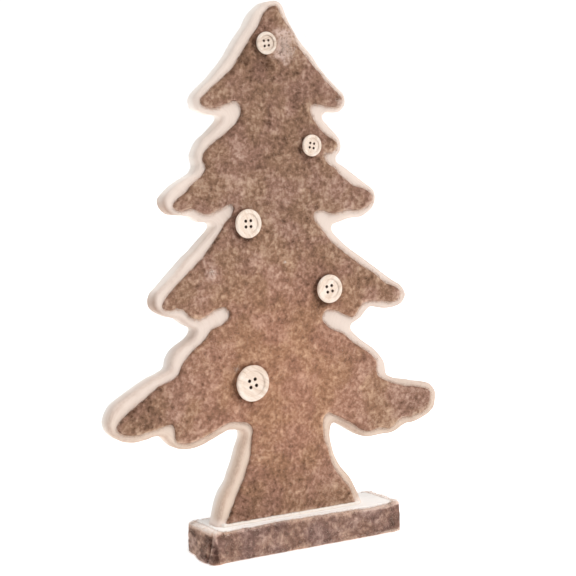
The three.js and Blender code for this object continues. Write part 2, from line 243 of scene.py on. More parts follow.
def plate(outer, holes, top_seeds, top, bottom_seeds, bottom, walls, bulge=None, small=0.45):
    """A flat closed solid. outer runs anticlockwise and holes clockwise, in mm. top and bottom give heights at points.
    Returns vertices (a, b, height), faces, and the bake map's corners."""
    loops = [outer, *holes]
    starts = np.cumsum([0] + [len(l) for l in loops])
    index = [np.arange(starts[k], starts[k + 1]) for k in range(len(loops))]
    parts = []
    for seeds, height in ((top_seeds, top), (bottom_seeds, bottom)):
        for hole in holes:
            seeds = seeds[~inside(seeds, hole)]
        v, f, where = triangles(np.vstack([*loops, seeds]), index)
        for hole in holes:
            f = f[~inside(v[f].mean(1), hole)]
        parts.append((v, f, where, height(v)))
    (tv, tf, tw, th), (bv, bf, bw, bh) = parts
    verts = [np.column_stack([tv, th]), np.column_stack([bv, bh])]
    count = len(tv) + len(bv)
    low, size = outer.min(0), np.ptp(outer, axis=0)
    gap = 1.5
    faces, corners = [], []
    faces.append(tf)
    corners.append(tv[tf] - low + gap)
    faces.append(bf[:, ::-1] + len(tv))
    corners.append((bv[bf[:, ::-1]] - low) * small + np.array([size[0] + 2 * gap, gap]))
    row_width, row = size[0] * (1 + small) + 2 * gap, size[1] + 2 * gap
    for k, loop in enumerate(loops):
        n = len(loop)
        rings = [bw[index[k]] + len(tv)]
        low_p = np.column_stack([loop, verts[1][bw[index[k]], 2]])
        high_p = np.column_stack([loop, verts[0][tw[index[k]], 2]])
        out = outward(loop)
        for j in range(1, walls):
            p = low_p + (high_p - low_p) * j / walls
            if bulge is not None and k == 0:
                p[:, :2] += out * bulge(p, j / walls)[:, None]
            verts.append(p)
            rings.append(np.arange(count, count + n))
            count += n
        rings.append(tw[index[k]])
        s = np.concatenate([[0], np.cumsum(np.linalg.norm(np.roll(loop, -1, 0) - loop, axis=1))])
        line = np.floor(s[:-1] / row_width)
        tall = float((high_p[:, 2] - low_p[:, 2]).max())
        u0, u1 = s[:-1] - line * row_width + gap, s[1:] - line * row_width + gap
        nxt = np.roll(np.arange(n), -1)
        for j in range(walls):
            a, b = rings[j], rings[j + 1]
            faces.append(np.column_stack([a, a[nxt], b[nxt], b]))
            v0 = row + line * (tall + gap) + tall * j / walls
            v1 = v0 + tall / walls
            corners.append(np.stack([np.column_stack(c) for c in ((u0, v0), (u1, v0), (u1, v1), (u0, v1))], 1))
        row += (line.max() + 1) * (tall + gap)
    side = max(row_width + 2 * gap, row + gap)
    return np.vstack(verts), faces, [c / side for c in corners]


def mesh_object(name, verts, faces, corners=None, smooth=True, point_values=None):
    """An object from vertices in metres. faces is a list of arrays, each with one number of corners per face."""
    me = bpy.data.meshes.new(name)
    flat = np.concatenate([f.ravel() for f in faces]).astype(np.int32)
    counts = np.concatenate([np.full(len(f), f.shape[1]) for f in faces]).astype(np.int32)
    me.vertices.add(len(verts))
    me.vertices.foreach_set("co", np.asarray(verts, np.float32).ravel())
    me.loops.add(len(flat))
    me.loops.foreach_set("vertex_index", flat)
    me.polygons.add(len(counts))
    me.polygons.foreach_set("loop_start", (np.cumsum(counts) - counts).astype(np.int32))
    me.polygons.foreach_set("use_smooth", np.full(len(counts), smooth))
    me.update(calc_edges=True)
    for key, values in (point_values or {}).items():
        layer = me.attributes.new(key, "FLOAT", "POINT")
        layer.data.foreach_set("value", np.asarray(values, np.float32))
    if corners is not None:
        uv = me.uv_layers.new(name="OFBake")
        uv.data.foreach_set("uv", np.concatenate([c.reshape(-1, 2) for c in corners]).astype(np.float32).ravel())
    me.validate()
    ob = bpy.data.objects.new(name, me)
    bpy.context.scene.collection.objects.link(ob)
    return ob


def upright(v):
    """(a, b, height) in mm to the row frame in metres: a is x, b is z and height comes forward."""
    return np.column_stack([v[:, 0], -v[:, 2], v[:, 1]]) * MM


BUTTONS = [  # diameter, thickness, x, z, turn of the hole pattern in degrees, hole spacing, hole radius, in mm
    (15, 3.0, -7.3, 345.2, 6, 3.4, 0.82),
    (15, 3.0, 26.3, 276.3, -11, 3.1, 0.81),
    (20, 3.5, -24.9, 225.9, 1, 3.8, 1.02),
    (20, 3.5, 37.0, 177.5, 9, 3.9, 1.02),
    (25, 4.0, -25.8, 118.4, 12, 4.5, 1.17),
]
BUTTON_BACK = 13.0  # height of a button's back

# ---- materials ---------------------------------------------------------------------------------


def lin(r, g, b):
    """A colour by its 8-bit screen values."""
    c = np.array([r, g, b]) / 255
    return (*np.where(c <= 0.04045, c / 12.92, ((c + 0.055) / 1.055) ** 2.4), 1.0)


class Shade:
    """A small helper for building a material's nodes."""

    def __init__(self, name):
        self.m = bpy.data.materials.new(name)
        self.m.use_nodes = True
        self.t = self.m.node_tree
        self.t.nodes.clear()
        self.out = self.t.nodes.new("ShaderNodeOutputMaterial")
        self.b = self.t.nodes.new("ShaderNodeBsdfPrincipled")
        self.t.links.new(self.b.outputs[0], self.out.inputs[0])

    def node(self, kind, **props):
        n = self.t.nodes.new("ShaderNode" + kind)
        for k, v in props.items():
            setattr(n, k, v)
        return n

    def join(self, a, b):
        self.t.links.new(a, b)

    def put(self, socket, value):
        if isinstance(value, bpy.types.NodeSocket):
            self.join(value, socket)
        else:
            socket.default_value = value

    def place(self):
        return self.node("TexCoord").outputs["Object"]

    def mapped(self, vector, scale=(1, 1, 1), turn=(0, 0, 0), shift=(0, 0, 0)):
        n = self.node("Mapping")
        n.inputs["Location"].default_value = shift
        n.inputs["Rotation"].default_value = turn
        n.inputs["Scale"].default_value = scale
        self.join(vector, n.inputs["Vector"])
        return n.outputs[0]

    def noise(self, vector, scale, detail=2.0, rough=0.5, distortion=0.0, colour=False):
        n = self.node("TexNoise")
        n.inputs["Scale"].default_value = scale
        n.inputs["Detail"].default_value = detail
        n.inputs["Roughness"].default_value = rough
        n.inputs["Distortion"].default_value = distortion
        self.join(vector, n.inputs["Vector"])
        return n.outputs["Color" if colour else "Fac"]

    def math(self, op, a, b=0.0, c=None, clamp=False):
        n = self.node("Math", operation=op, use_clamp=clamp)
        self.put(n.inputs[0], a)
        self.put(n.inputs[1], b)
        if c is not None:
            self.put(n.inputs[2], c)
        return n.outputs[0]

    def vector(self, op, a, b):
        n = self.node("VectorMath", operation=op)
        self.put(n.inputs[0], a)
        if op == "SCALE":
            self.put(n.inputs["Scale"], b)
        else:
            self.put(n.inputs[1], b)
        return n.outputs[0]

    def spread(self, value, low, high, to_low=0.0, to_high=1.0, smooth=False):
        n = self.node("MapRange", interpolation_type="SMOOTHSTEP" if smooth else "LINEAR")
        self.put(n.inputs[0], value)
        for i, x in enumerate((low, high, to_low, to_high), 1):
            n.inputs[i].default_value = x
        return n.outputs[0]

    def ramp(self, value, stops):
        n = self.node("ValToRGB")
        e = n.color_ramp.elements
        while len(e) < len(stops):
            e.new(0.5)
        for x, (at, colour) in zip(e, stops):
            x.position, x.color = at, colour
        self.join(value, n.inputs[0])
        return n.outputs[0]

    def mix(self, share, a, b, blend="MIX"):
        n = self.node("Mix", data_type="RGBA", blend_type=blend)
        self.put(n.inputs[0], share)
        self.put(n.inputs[6], a)
        self.put(n.inputs[7], b)
        return n.outputs[2]

    def bump(self, height, distance, strength=1.0, normal=None):
        n = self.node("Bump")
        n.inputs["Strength"].default_value = strength
        n.inputs["Distance"].default_value = distance
        self.join(height, n.inputs["Height"])
        if normal is not None:
            self.join(normal, n.inputs["Normal"])
        return n.outputs[0]

    def finish(self, colour=None, rough=None, normal=None, **values):
        for socket, value in (("Base Color", colour), ("Roughness", rough), ("Normal", normal)):
            if value is not None:
                self.put(self.b.inputs[socket], value)
        for k, v in values.items():
            self.b.inputs[k.replace("_", " ")].default_value = v
        return self.m


def felt_material(name, dark, mid, light, patch_a, patch_b, spots=1.0, seed=0.0, zones=(), light_pool=None, pale=(), button_shadows=(), end=None):
    """Matted wool: short fibres lying every way, in clumps of darker and lighter wool. zones are broad places where the
    wool is darker or lighter: (x, z, radius, change in tone), in metres; some of them are painted shade. light_pool is
    the
    middle of a painted pool of light: the wool is lighter and redder near it and darker and greyer further off. pale
    are
    places with undyed wool in it: (x, z, radius, share). button_shadows are painted shadows round the buttons: (x, z,
    radius). Past x = end the clumps stand out more. The point attribute edge_light_and_wear makes the wool lighter or
    darker: painted light and shade along the cut edges and rims, and wear on the foot strip."""
    s = Shade(name)
    place = s.place()
    at = s.mapped(place, (1, 1, 1) if end is None else (1, 0.55, 1), shift=(seed, seed * 0.7, seed * 1.3))
    bend = s.vector("SUBTRACT", s.noise(at, 240, 2, 0.6, colour=True), (0.5, 0.5, 0.5))
    bent = s.vector("ADD", at, s.vector("SCALE", bend, 0.0035))
    strands = []
    for k, (turn, long, across) in enumerate((
            ((0.2, 0.5, 0.1), 480, 1900), ((0.1, 1.6, 0.5), 430, 1700), ((0.4, 2.6, 0.2), 520, 2100))):
        strands.append(s.noise(s.mapped(bent, (long, across, across), turn, (k * 3.1, 0, 0)), 1.0, 2, 0.55))
    fibre = s.math("MULTIPLY", s.math("ADD", s.math("ADD", strands[0], strands[1]), strands[2]), 1 / 3)
    fine = s.noise(at, 1150, 2, 0.6)
    small = s.noise(at, 480, 2, 0.55)
    clump = s.noise(bent, 250, 2, 0.5)
    broad = s.noise(at, 85, 2, 0.5)
    patch = s.noise(at, 24, 2, 0.55)
    tone = 0.0
    thin = 1.0 if end is None else 0.55
    for value, weight in ((fibre, 0.45 * thin), (fine, 0.2 * thin), (small, 0.75 * thin), (clump, 0.92), (broad, 0.72), (patch, 0.42)):
        tone = s.math("MULTIPLY_ADD", s.math("SUBTRACT", value, 0.5), weight * spots, tone)
    if end is not None:
        out = s.node("SeparateXYZ")
        s.join(place, out.inputs[0])
        past = s.spread(out.outputs[0], end, end - 0.0025, 0, 1, True)
        lump = s.spread(s.noise(s.mapped(at, (1, 0.6, 0.9), shift=(0.2, 0.01, 0.3)), 135, 2, 0.55), 0.36, 0.64, -0.30, 0.46)
        tone = s.math("MULTIPLY_ADD", tone, s.math("MULTIPLY_ADD", past, 0.35, 1.0), s.math("MULTIPLY", past, lump))
    if light_pool:
        calm = s.node("VectorMath", operation="DISTANCE")
        s.join(s.mapped(place, (1, 0, 1)), calm.inputs[0])
        calm.inputs[1].default_value = (light_pool[0], 0, light_pool[1])
        tone = s.math("MULTIPLY", tone, s.spread(calm.outputs["Value"], 0.02, 0.12, 0.76, 1, True))
    tone = s.math("ADD", tone, 0.5)
    # painted light and shade along the cut edges and rims, with some wear on the foot strip, comes in as a point
    # attribute
    edge_light_and_wear = s.node("Attribute", attribute_name="edge_light_and_wear").outputs["Fac"]
    tone = s.math("MULTIPLY_ADD", edge_light_and_wear, s.spread(small, 0.3, 0.6, 0.7, 1.3), tone)
    flat = s.mapped(place, (1, 0, 1))
    uneven = s.vector("SUBTRACT", s.noise(at, 130, 2, 0.6, colour=True), (0.5, 0.5, 0.5))
    ragged = s.vector("ADD", flat, s.vector("SCALE", uneven, 0.016))
    neat = s.vector("ADD", flat, s.vector("SCALE", uneven, 0.0025))

    def distance(x, z, around=None):
        near = s.node("VectorMath", operation="DISTANCE")
        s.join(around or ragged, near.inputs[0])
        near.inputs[1].default_value = (x, 0, z)
        return near.outputs["Value"]

    for x, z, radius, change in zones:
        tone = s.math("ADD", tone, s.spread(distance(x, z), radius * 0.3, radius, change, 0, True))
    facing = s.node("SeparateXYZ")
    s.join(place, facing.inputs[0])
    front = s.spread(facing.outputs[1], -0.003, 0.0, 1, 0)
    # painted shadows round the buttons: on the front face the wool is darker about each button, a little below and left
    # of it
    for x, z, radius in button_shadows:
        tone = s.math("MULTIPLY_ADD", front, s.spread(distance(x, z, neat), radius, radius + 0.0014, -0.24, 0, True), tone)
    colour = s.ramp(tone, ((0.1, dark), (0.5, mid), (0.9, light)))
    hue = s.noise(s.mapped(at, shift=(0.31, 0.17, 0.05)), 45, 2, 0.5)
    colour = s.mix(s.spread(hue, 0.38, 0.62, 0, 1, True), s.mix(1.0, colour, patch_a, "MULTIPLY"), s.mix(1.0, colour, patch_b, "MULTIPLY"))
    # painted pool of light: near its middle the wool is lighter and redder, further off darker and greyer
    if light_pool:
        colour = s.mix(s.spread(distance(light_pool[0], light_pool[1]), 0.015, 0.125, 1, 0, True), s.mix(1.0, colour, (0.85, 0.90, 0.915, 1), "MULTIPLY"),
                       s.mix(1.0, colour, (1.11, 1.055, 0.97, 1), "MULTIPLY"))
    # that attribute also mixes in a pale and a near-white colour: painted highlight on lit edges and rims, with some
    # wear
    recolour_share = s.math("MULTIPLY", s.spread(edge_light_and_wear, 0.2, 0.6, 0, 0.85), s.spread(small, 0.3, 0.55, 0.55, 1))
    colour = s.mix(recolour_share, colour, lin(238, 218, 204))
    colour = s.mix(s.spread(edge_light_and_wear, 0.6, 1.05, 0, 1), colour, lin(255, 246, 240))
    for x, z, radius, share in pale:
        wool = s.math("MULTIPLY", s.spread(distance(x, z), radius * 0.35, radius, share, 0, True), s.spread(small, 0.36, 0.58, 0.25, 1, True))
        colour = s.mix(s.math("MULTIPLY", wool, front), colour, lin(218, 193, 183))
    height = s.math("MULTIPLY_ADD", fibre, 0.7, s.math("MULTIPLY_ADD", clump, 0.8, s.math("MULTIPLY", small, 1.0)))
    normal = s.bump(height, 0.0010, 0.5)
    m = s.finish(colour, 0.96, normal, Specular_IOR_Level=0.15, Sheen_Weight=0.18, Sheen_Roughness=0.55, Sheen_Tint=lin(236, 214, 198))
    return m


def fibre_material(name, dark, mid, light, pale):
    """Single wool hairs, each of one shade."""
    s = Shade(name)
    shade = s.node("Attribute", attribute_name="shade").outputs["Fac"]
    along = s.noise(s.place(), 700, 2, 0.6)
    tone = s.math("MULTIPLY_ADD", s.math("SUBTRACT", along, 0.5), 0.3, shade)
    return s.finish(s.ramp(tone, ((0.0, dark), (0.38, mid), (0.78, light), (1.0, pale))), 0.85, Specular_IOR_Level=0.2,
                    Sheen_Weight=0.2, Sheen_Roughness=0.5)


def paint_material(name, colour, shadow, seed, streaks=True, low=None, rear=None):
    """Matte paint brushed on wood: faint brush lines along the edge, small lumps, a duller tone in the low spots, and a
    painted shade band along the middle of the wall. low is the pair of colours that the paint has near the foot. rear
    is the near-white colour painted along the wall's back edge, a painted backlight."""
    s = Shade(name)
    at = s.place()
    lump = s.noise(at, 260, 3, 0.55)
    grit = s.noise(at, 1700, 2, 0.6)
    cloud = s.noise(at, 45, 3, 0.6)
    if streaks:
        run = s.node("Attribute", attribute_name="along").outputs["Fac"]
        over = s.node("Attribute", attribute_name="across").outputs["Fac"]
        line = s.node("CombineXYZ")
        s.join(run, line.inputs[0])
        s.join(over, line.inputs[1])
        brush = s.noise(s.mapped(line.outputs[0], (55, 900, 1), shift=(seed, 0, seed)), 1.0, 3, 0.6)
        wander = s.math("MULTIPLY", s.math("SUBTRACT", s.noise(s.mapped(line.outputs[0], (32, 1, 1), shift=(seed, 4, seed)), 1.0, 2), 0.5), 0.012)
        over = s.math("ADD", over, wander)
        up = s.node("SeparateXYZ")
        s.join(s.place(), up.inputs[0])
        off = s.math("SUBTRACT", over, s.spread(up.outputs[2], 0.185, 0.225, 0.0084, 0.0038, True))
        # painted shade: a darker band along the middle of the wall
        middle = s.math("MULTIPLY", s.spread(off, 0.0008, 0.0046, 1, 0, True), s.spread(off, -0.0085, -0.0005, 0, 1, True))
        foot = s.spread(up.outputs[2], 0.075, 0.125, 1, 0, True)
        colour, shadow = s.mix(foot, colour, low[0]), s.mix(foot, shadow, low[1])
    else:
        brush = s.noise(s.mapped(at, (28, 900, 900), shift=(seed, 0, seed)), 1.0, 3, 0.6)
        middle = 0.0
    tone = s.math("ADD", s.math("MULTIPLY", brush, 0.6), s.math("MULTIPLY_ADD", lump, 0.15, s.math("MULTIPLY", cloud, 0.25)))
    recolour_share = s.spread(tone, 0.34, 0.58, 1, 0, True)
    mottle = s.spread(s.noise(at, 520, 2, 0.6), 0.4, 0.62, 0, 1, True)
    share = s.math("MULTIPLY_ADD", recolour_share, 0.34, s.math("MULTIPLY", middle, 0.55), clamp=True)
    share = s.math("MULTIPLY", share, s.math("MULTIPLY_ADD", mottle, 0.5, 0.75), clamp=True)
    c = s.mix(share, colour, shadow)
    if rear:
        # painted backlight: the paint turns near-white towards the wall's back edge
        c = s.mix(s.spread(over, -0.0062, 0.0035, 1, 0, True), c, rear)
        # higher up, painted light lifts the wall's shade towards white, and round its front edge the paint is a little
        # thinner and warmer
        thick = s.math("MULTIPLY", s.spread(over, -0.006, -0.003, 0, 1, True), s.spread(over, 0.002, 0.0095, 1, 0, True))
        c = s.mix(s.math("MULTIPLY", thick, s.spread(up.outputs[2], 0.15, 0.19, 0, 0.68, True)), c, lin(255, 246, 238))
        c = s.mix(s.spread(over, 0.003, 0.008, 0, 0.25, True), c, lin(248, 238, 232), "MULTIPLY")
        # painted shade: the wall is darker at the left tips of the two middle tiers
        flat = s.mapped(at, (1, 0, 1))
        for x, z in ((-0.0795, 0.2392), (-0.0903, 0.1757)):
            near = s.node("VectorMath", operation="DISTANCE")
            s.put(near.inputs[0], flat)
            near.inputs[1].default_value = (x, 0, z)
            tip_shade = s.math("MULTIPLY", s.spread(near.outputs[1], 0.0025, 0.0105, 0.96, 0, True), s.spread(over, 0.0065, 0.0115, 1, 0, True))
            c = s.mix(tip_shade, c, lin(203, 186, 176), "MULTIPLY")
        # thick paint in the corner where the tree meets the foot board
        c = s.mix(s.spread(up.outputs[2], 0.0235, 0.0285, 0.8, 0, True), c, lin(251, 235, 226))
        c = s.mix(s.spread(up.outputs[1], -0.0102, -0.0094, 1, 0, True), c, lin(250, 241, 233))
    height = s.math("MULTIPLY_ADD", brush, 0.6, s.math("MULTIPLY_ADD", lump, 0.8, s.math("MULTIPLY", grit, 0.18)))
    return s.finish(c, s.spread(lump, 0.3, 0.7, 0.72, 0.86), s.bump(height, 0.0004, 0.6), Specular_IOR_Level=0.22)


def wood_button_material(name, turn, seed, painted_dimming):
    """Pale smooth-turned wood: fine straight grain, a few darker pores, and painted shade in the drilled holes and
    along the dish edge. painted_dimming is the share of its colour that this button's wood keeps, a painted shade that
    is deepest on the top button."""
    s = Shade(name)
    at = s.mapped(s.place(), turn=(0, turn, 0), shift=(seed, seed * 0.5, 0))
    wavy = s.vector("ADD", at, s.vector("SCALE", s.vector("SUBTRACT", s.noise(at, 90, 1, 0.5, colour=True), (0.5, 0.5, 0.5)), 0.0016))
    grain = s.noise(s.mapped(wavy, (70, 900, 1100)), 1.0, 3, 0.6)
    rings = s.noise(s.mapped(wavy, (22, 180, 330)), 1.0, 2, 0.5)
    pores = s.noise(s.mapped(wavy, (420, 5200, 5200)), 1.0, 1, 0.5)
    tone = s.math("MULTIPLY_ADD", grain, 0.5, s.math("MULTIPLY", rings, 0.5))
    shades = (lin(206, 180, 158), lin(236, 216, 199), lin(248, 235, 222))
    shades = [tuple(v * painted_dimming for v in c[:3]) + (1,) for c in shades]
    c = s.ramp(tone, ((0.28, shades[0]), (0.47, shades[1]), (0.64, shades[2])))
    c = s.mix(s.spread(pores, 0.64, 0.74, 0, 0.4, True), c, lin(190, 156, 122))
    dish_and_hole_shade = s.node("Attribute", attribute_name="dish_and_hole_shade").outputs["Fac"]
    # painted shade in the holes, round their lips and along the dish edge
    c = s.mix(dish_and_hole_shade, c, lin(112, 84, 65))
    height = s.math("MULTIPLY_ADD", grain, 0.6, s.math("MULTIPLY", pores, -0.5))
    return s.finish(c, s.spread(grain, 0.3, 0.7, 0.45, 0.6), s.bump(height, 0.00012, 0.5), Specular_IOR_Level=0.4)


def glue_material():
    """Glue, dark brown: seen through the buttons' holes, its colour stands for the shade in them."""
    s = Shade("glue_darkened_for_hole_shade")
    at = s.place()
    c = s.mix(s.spread(s.noise(at, 700, 2, 0.5), 0.35, 0.65), lin(48, 33, 23), lin(84, 60, 42))
    return s.finish(c, s.spread(s.noise(at, 1500, 2, 0.5), 0.3, 0.7, 0.18, 0.4), s.bump(s.noise(at, 900, 2), 0.0002, 0.5), Specular_IOR_Level=0.5)


def zinc_material():
    s = Shade("zinc_plated_steel")
    at = s.place()
    c = s.mix(s.spread(s.noise(at, 900, 3, 0.6), 0.3, 0.7), lin(168, 166, 158), lin(205, 203, 196))
    return s.finish(c, s.spread(s.noise(at, 2200, 3, 0.6), 0.3, 0.7, 0.24, 0.48), s.bump(s.noise(at, 3000, 2), 0.00005, 0.4), Metallic=1.0)


# of the zones, the two darker ones just below and left of the top button are its painted shadow; (0.002, 0.112) is the
# middle of a painted pool of light, and the last list places painted shadows round the buttons
tree_felt = felt_material(
    "brown_wool_felt", lin(86, 58, 43), lin(154, 117, 99), lin(208, 175, 157), lin(255, 248, 248), lin(252, 248, 236), 1.0, 0.0,
    ((-0.034, 0.320, 0.034, -0.08), (-0.016, 0.338, 0.016, -0.12), (-0.006, 0.329, 0.015, -0.17), (0.0085, 0.345, 0.013, 0.06),
     (-0.115, 0.103, 0.034, -0.11), (-0.028, 0.038, 0.034, -0.09), (0.085, 0.09, 0.055, 0.05), (0.034, 0.172, 0.02, -0.07),
     (-0.053, 0.196, 0.010, 0.10)), (0.002, 0.112), ((0.0085, 0.349, 0.011, 0.78), (0.0075, 0.340, 0.011, 0.72), (-0.053, 0.195, 0.007, 0.3),
                                (0.0525, 0.3045, 0.006, 0.6)),
    [((x - 0.9) * MM, (z - 0.8) * MM, d / 2 * MM) for d, _, x, z, *_ in BUTTONS])
band_felt = felt_material("grey_brown_wool_felt", lin(72, 50, 43), lin(138, 109, 97), lin(208, 180, 163),
                          lin(255, 247, 240), lin(246, 242, 248), 1.02, 4.7, end=-0.0588)
tree_hair = fibre_material("brown_wool_hair", lin(104, 74, 58), lin(168, 130, 109), lin(230, 200, 178), lin(246, 234, 226))
band_hair = fibre_material("grey_brown_wool_hair", lin(84, 60, 50), lin(160, 128, 111), lin(240, 212, 190), lin(246, 234, 226))
tree_paint = paint_material("tree_paint_white", lin(231, 217, 207), lin(214, 195, 183), 0.0,
                            low=(lin(226, 208, 192), lin(197, 170, 152)), rear=lin(252, 248, 244))
base_paint = paint_material("white_paint", lin(252, 249, 246), lin(240, 232, 224), 3.0, streaks=False)

# ---- tree board --------------------------------------------------------------------------------

FRONT, BACK = 9.0, -6.0  # heights forward of y = 0, in mm
ROUND = 3.0
rng = np.random.default_rng(7)


def rounded_top(edge, level, radius, sign):
    """Height of a face whose edge is rounded over. sign is 1 for the front and -1 for the back."""
    def height(p):
        d, _ = edge(p)
        r = np.clip(radius - d, 0, radius)
        return level - sign * (radius - np.sqrt(np.maximum(radius ** 2 - r ** 2, 0)))
    return height


def make_board():
    foot = 22.3
    line = rounded_line(chain_of("tree_board", -6.0, foot), 1.1)
    n = outward(line, closed=False)
    fade = np.clip(np.minimum(np.arange(len(line)), np.arange(len(line))[::-1]) / 12, 0, 1)[:, None]
    line = line + n * fade * (0.22 * lumps(line, 9, 3)[:, None] + 0.1 * lumps(line, 3.5, 4)[:, None])
    across = spaced(np.array([line[-1], line[0]]), 1.0)[1:-1]
    loop = np.vstack([line, across])
    beyond = np.vstack([2 * line[0] - line[4], line, 2 * line[-1] - line[-5]])
    edge = Edge(beyond, closed=False)
    insets = (0.08, 0.3, 0.65, 1.15, 1.75, 2.4, 3.1, 4.2)
    top_seeds = seeds_for(loop, edge, insets, 6.0, rng, rim_loop=line)
    bottom_seeds = seeds_for(loop, edge, insets, 6.0, rng, rim_loop=line)
    front, back = rounded_top(edge, FRONT, ROUND, 1), rounded_top(edge, BACK, ROUND, -1)

    def soft(p, k):
        full = np.sin(np.pi * k)
        return 0.16 * full * lumps(p, 14, 9) + 0.05 * lumps(p, 3, 10)

    left, right = line[-1, 0], line[0, 0]
    if left > right:
        left, right = right, left

    def front_and_bead(p):
        """The front face, with the bead of thick paint along its foot that fills the corner under the felt."""
        within = np.clip(np.minimum(p[:, 0] - left - 2.4, right - 2.4 - p[:, 0]) / 1.5, 0, 1)
        return front(p) + (2.65 + 0.12 * lumps(p, 5, 31)) * within * np.clip((24.3 - p[:, 1]) / 0.4, 0, 1)

    x = np.arange(left + 1.5, right - 1.5, 0.9)
    bead = np.vstack([np.column_stack([x, np.full(len(x), z)]) for z in (22.65, 23.2, 23.87, 24.34, 24.9)])
    top_seeds = np.vstack([top_seeds, bead])
    v, faces, corners = plate(loop, [], top_seeds, front_and_bead, bottom_seeds, back, 9, soft)
    d, s = edge(v[:, :2])
    mid = (FRONT + BACK) / 2
    across = np.where(v[:, 2] > mid, v[:, 2] + d, v[:, 2] - d)
    near = np.clip((6 - d) / 3, 0, 1)
    dents = near * (0.1 * lumps(v, 8, 21) + 0.04 * lumps(v, 2.6, 22))
    v[:, 2] += np.where(v[:, 2] > mid, 1, -1) * np.minimum(dents, 0) * (d > 0.05)
    v[:, 1] = np.where(v[:, 1] < foot + 0.3, v[:, 1] - 0.3, v[:, 1])
    ob = mesh_object("tree_board_painted", upright(v), faces, corners, point_values={"along": s * MM, "across": across * MM})
    ob.data.materials.append(tree_paint)
    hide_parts("tree_board")
    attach(ob, "root")
    return ob


board = make_board()

# ---- felt --------------------------------------------------------------------------------------


def fibre_mesh(name, root, way, up, length, lift, thick, bow, shade, material):
    """Wool hairs: slim closed spindles with a bend. root is the middle of each, way its run, up the side it rises to."""
    n = len(root)
    side = np.cross(way, up)
    r = np.random.default_rng(len(root) + 5)
    t = np.array([-0.5, -0.17, 0.17, 0.5])
    rise = np.array([0.0, 0.9, 1.0, 0.15]) if lift is not None else np.zeros(4)
    swing = np.array([-0.12, 0.07, 0.08, -0.1])
    path = (root[:, None] + way[:, None] * (t[None, :, None] * length[:, None, None])
            + side[:, None] * (swing[None, :, None] * (bow * length)[:, None, None])
            + up[:, None] * (rise[None, :, None] * lift[:, None, None]))
    angle = r.uniform(0, 2 * np.pi, n)
    verts = np.empty((n, 8, 3))
    verts[:, 0], verts[:, 7] = path[:, 0], path[:, 3]
    for j in (0, 1):
        for k in range(3):
            a = angle + k * 2 * np.pi / 3
            verts[:, 1 + 3 * j + k] = path[:, 1 + j] + (side * np.cos(a)[:, None] + up * np.sin(a)[:, None]) * thick[:, None]
    verts[..., 2] = np.maximum(verts[..., 2], 0.03 + 0.01 * np.arange(8))
    base = (np.arange(n) * 8)[:, None]
    tris, quads = [], []
    for k in range(3):
        m = (k + 1) % 3
        tris += [(0, 1 + k, 1 + m), (7, 4 + m, 4 + k)]
        quads.append((1 + k, 4 + k, 4 + m, 1 + m))
    cells = math.ceil(math.sqrt(n))
    cell = np.column_stack([np.arange(n) % cells, np.arange(n) // cells])[:, None, :]
    uv = []
    for k in range(3):
        m = k + 1
        uv += [((0.06, (k + 0.5) / 3), (0.34, k / 3), (0.34, m / 3)), ((0.94, (k + 0.5) / 3), (0.66, m / 3), (0.66, k / 3))]
    uvq = [((0.34, k / 3), (0.66, k / 3), (0.66, (k + 1) / 3), (0.34, (k + 1) / 3)) for k in range(3)]
    faces = [(base + np.array(f)) for f in tris] + [(base + np.array(f)) for f in quads]
    corners = [(cell + 0.05 + 0.9 * np.array(c)[None]) / cells for c in uv + uvq]
    ob = mesh_object(name, verts.reshape(-1, 3) * MM, faces, corners, point_values={"shade": np.repeat(shade, 8)})
    ob.data.materials.append(material)
    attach(ob, "root")
    return ob


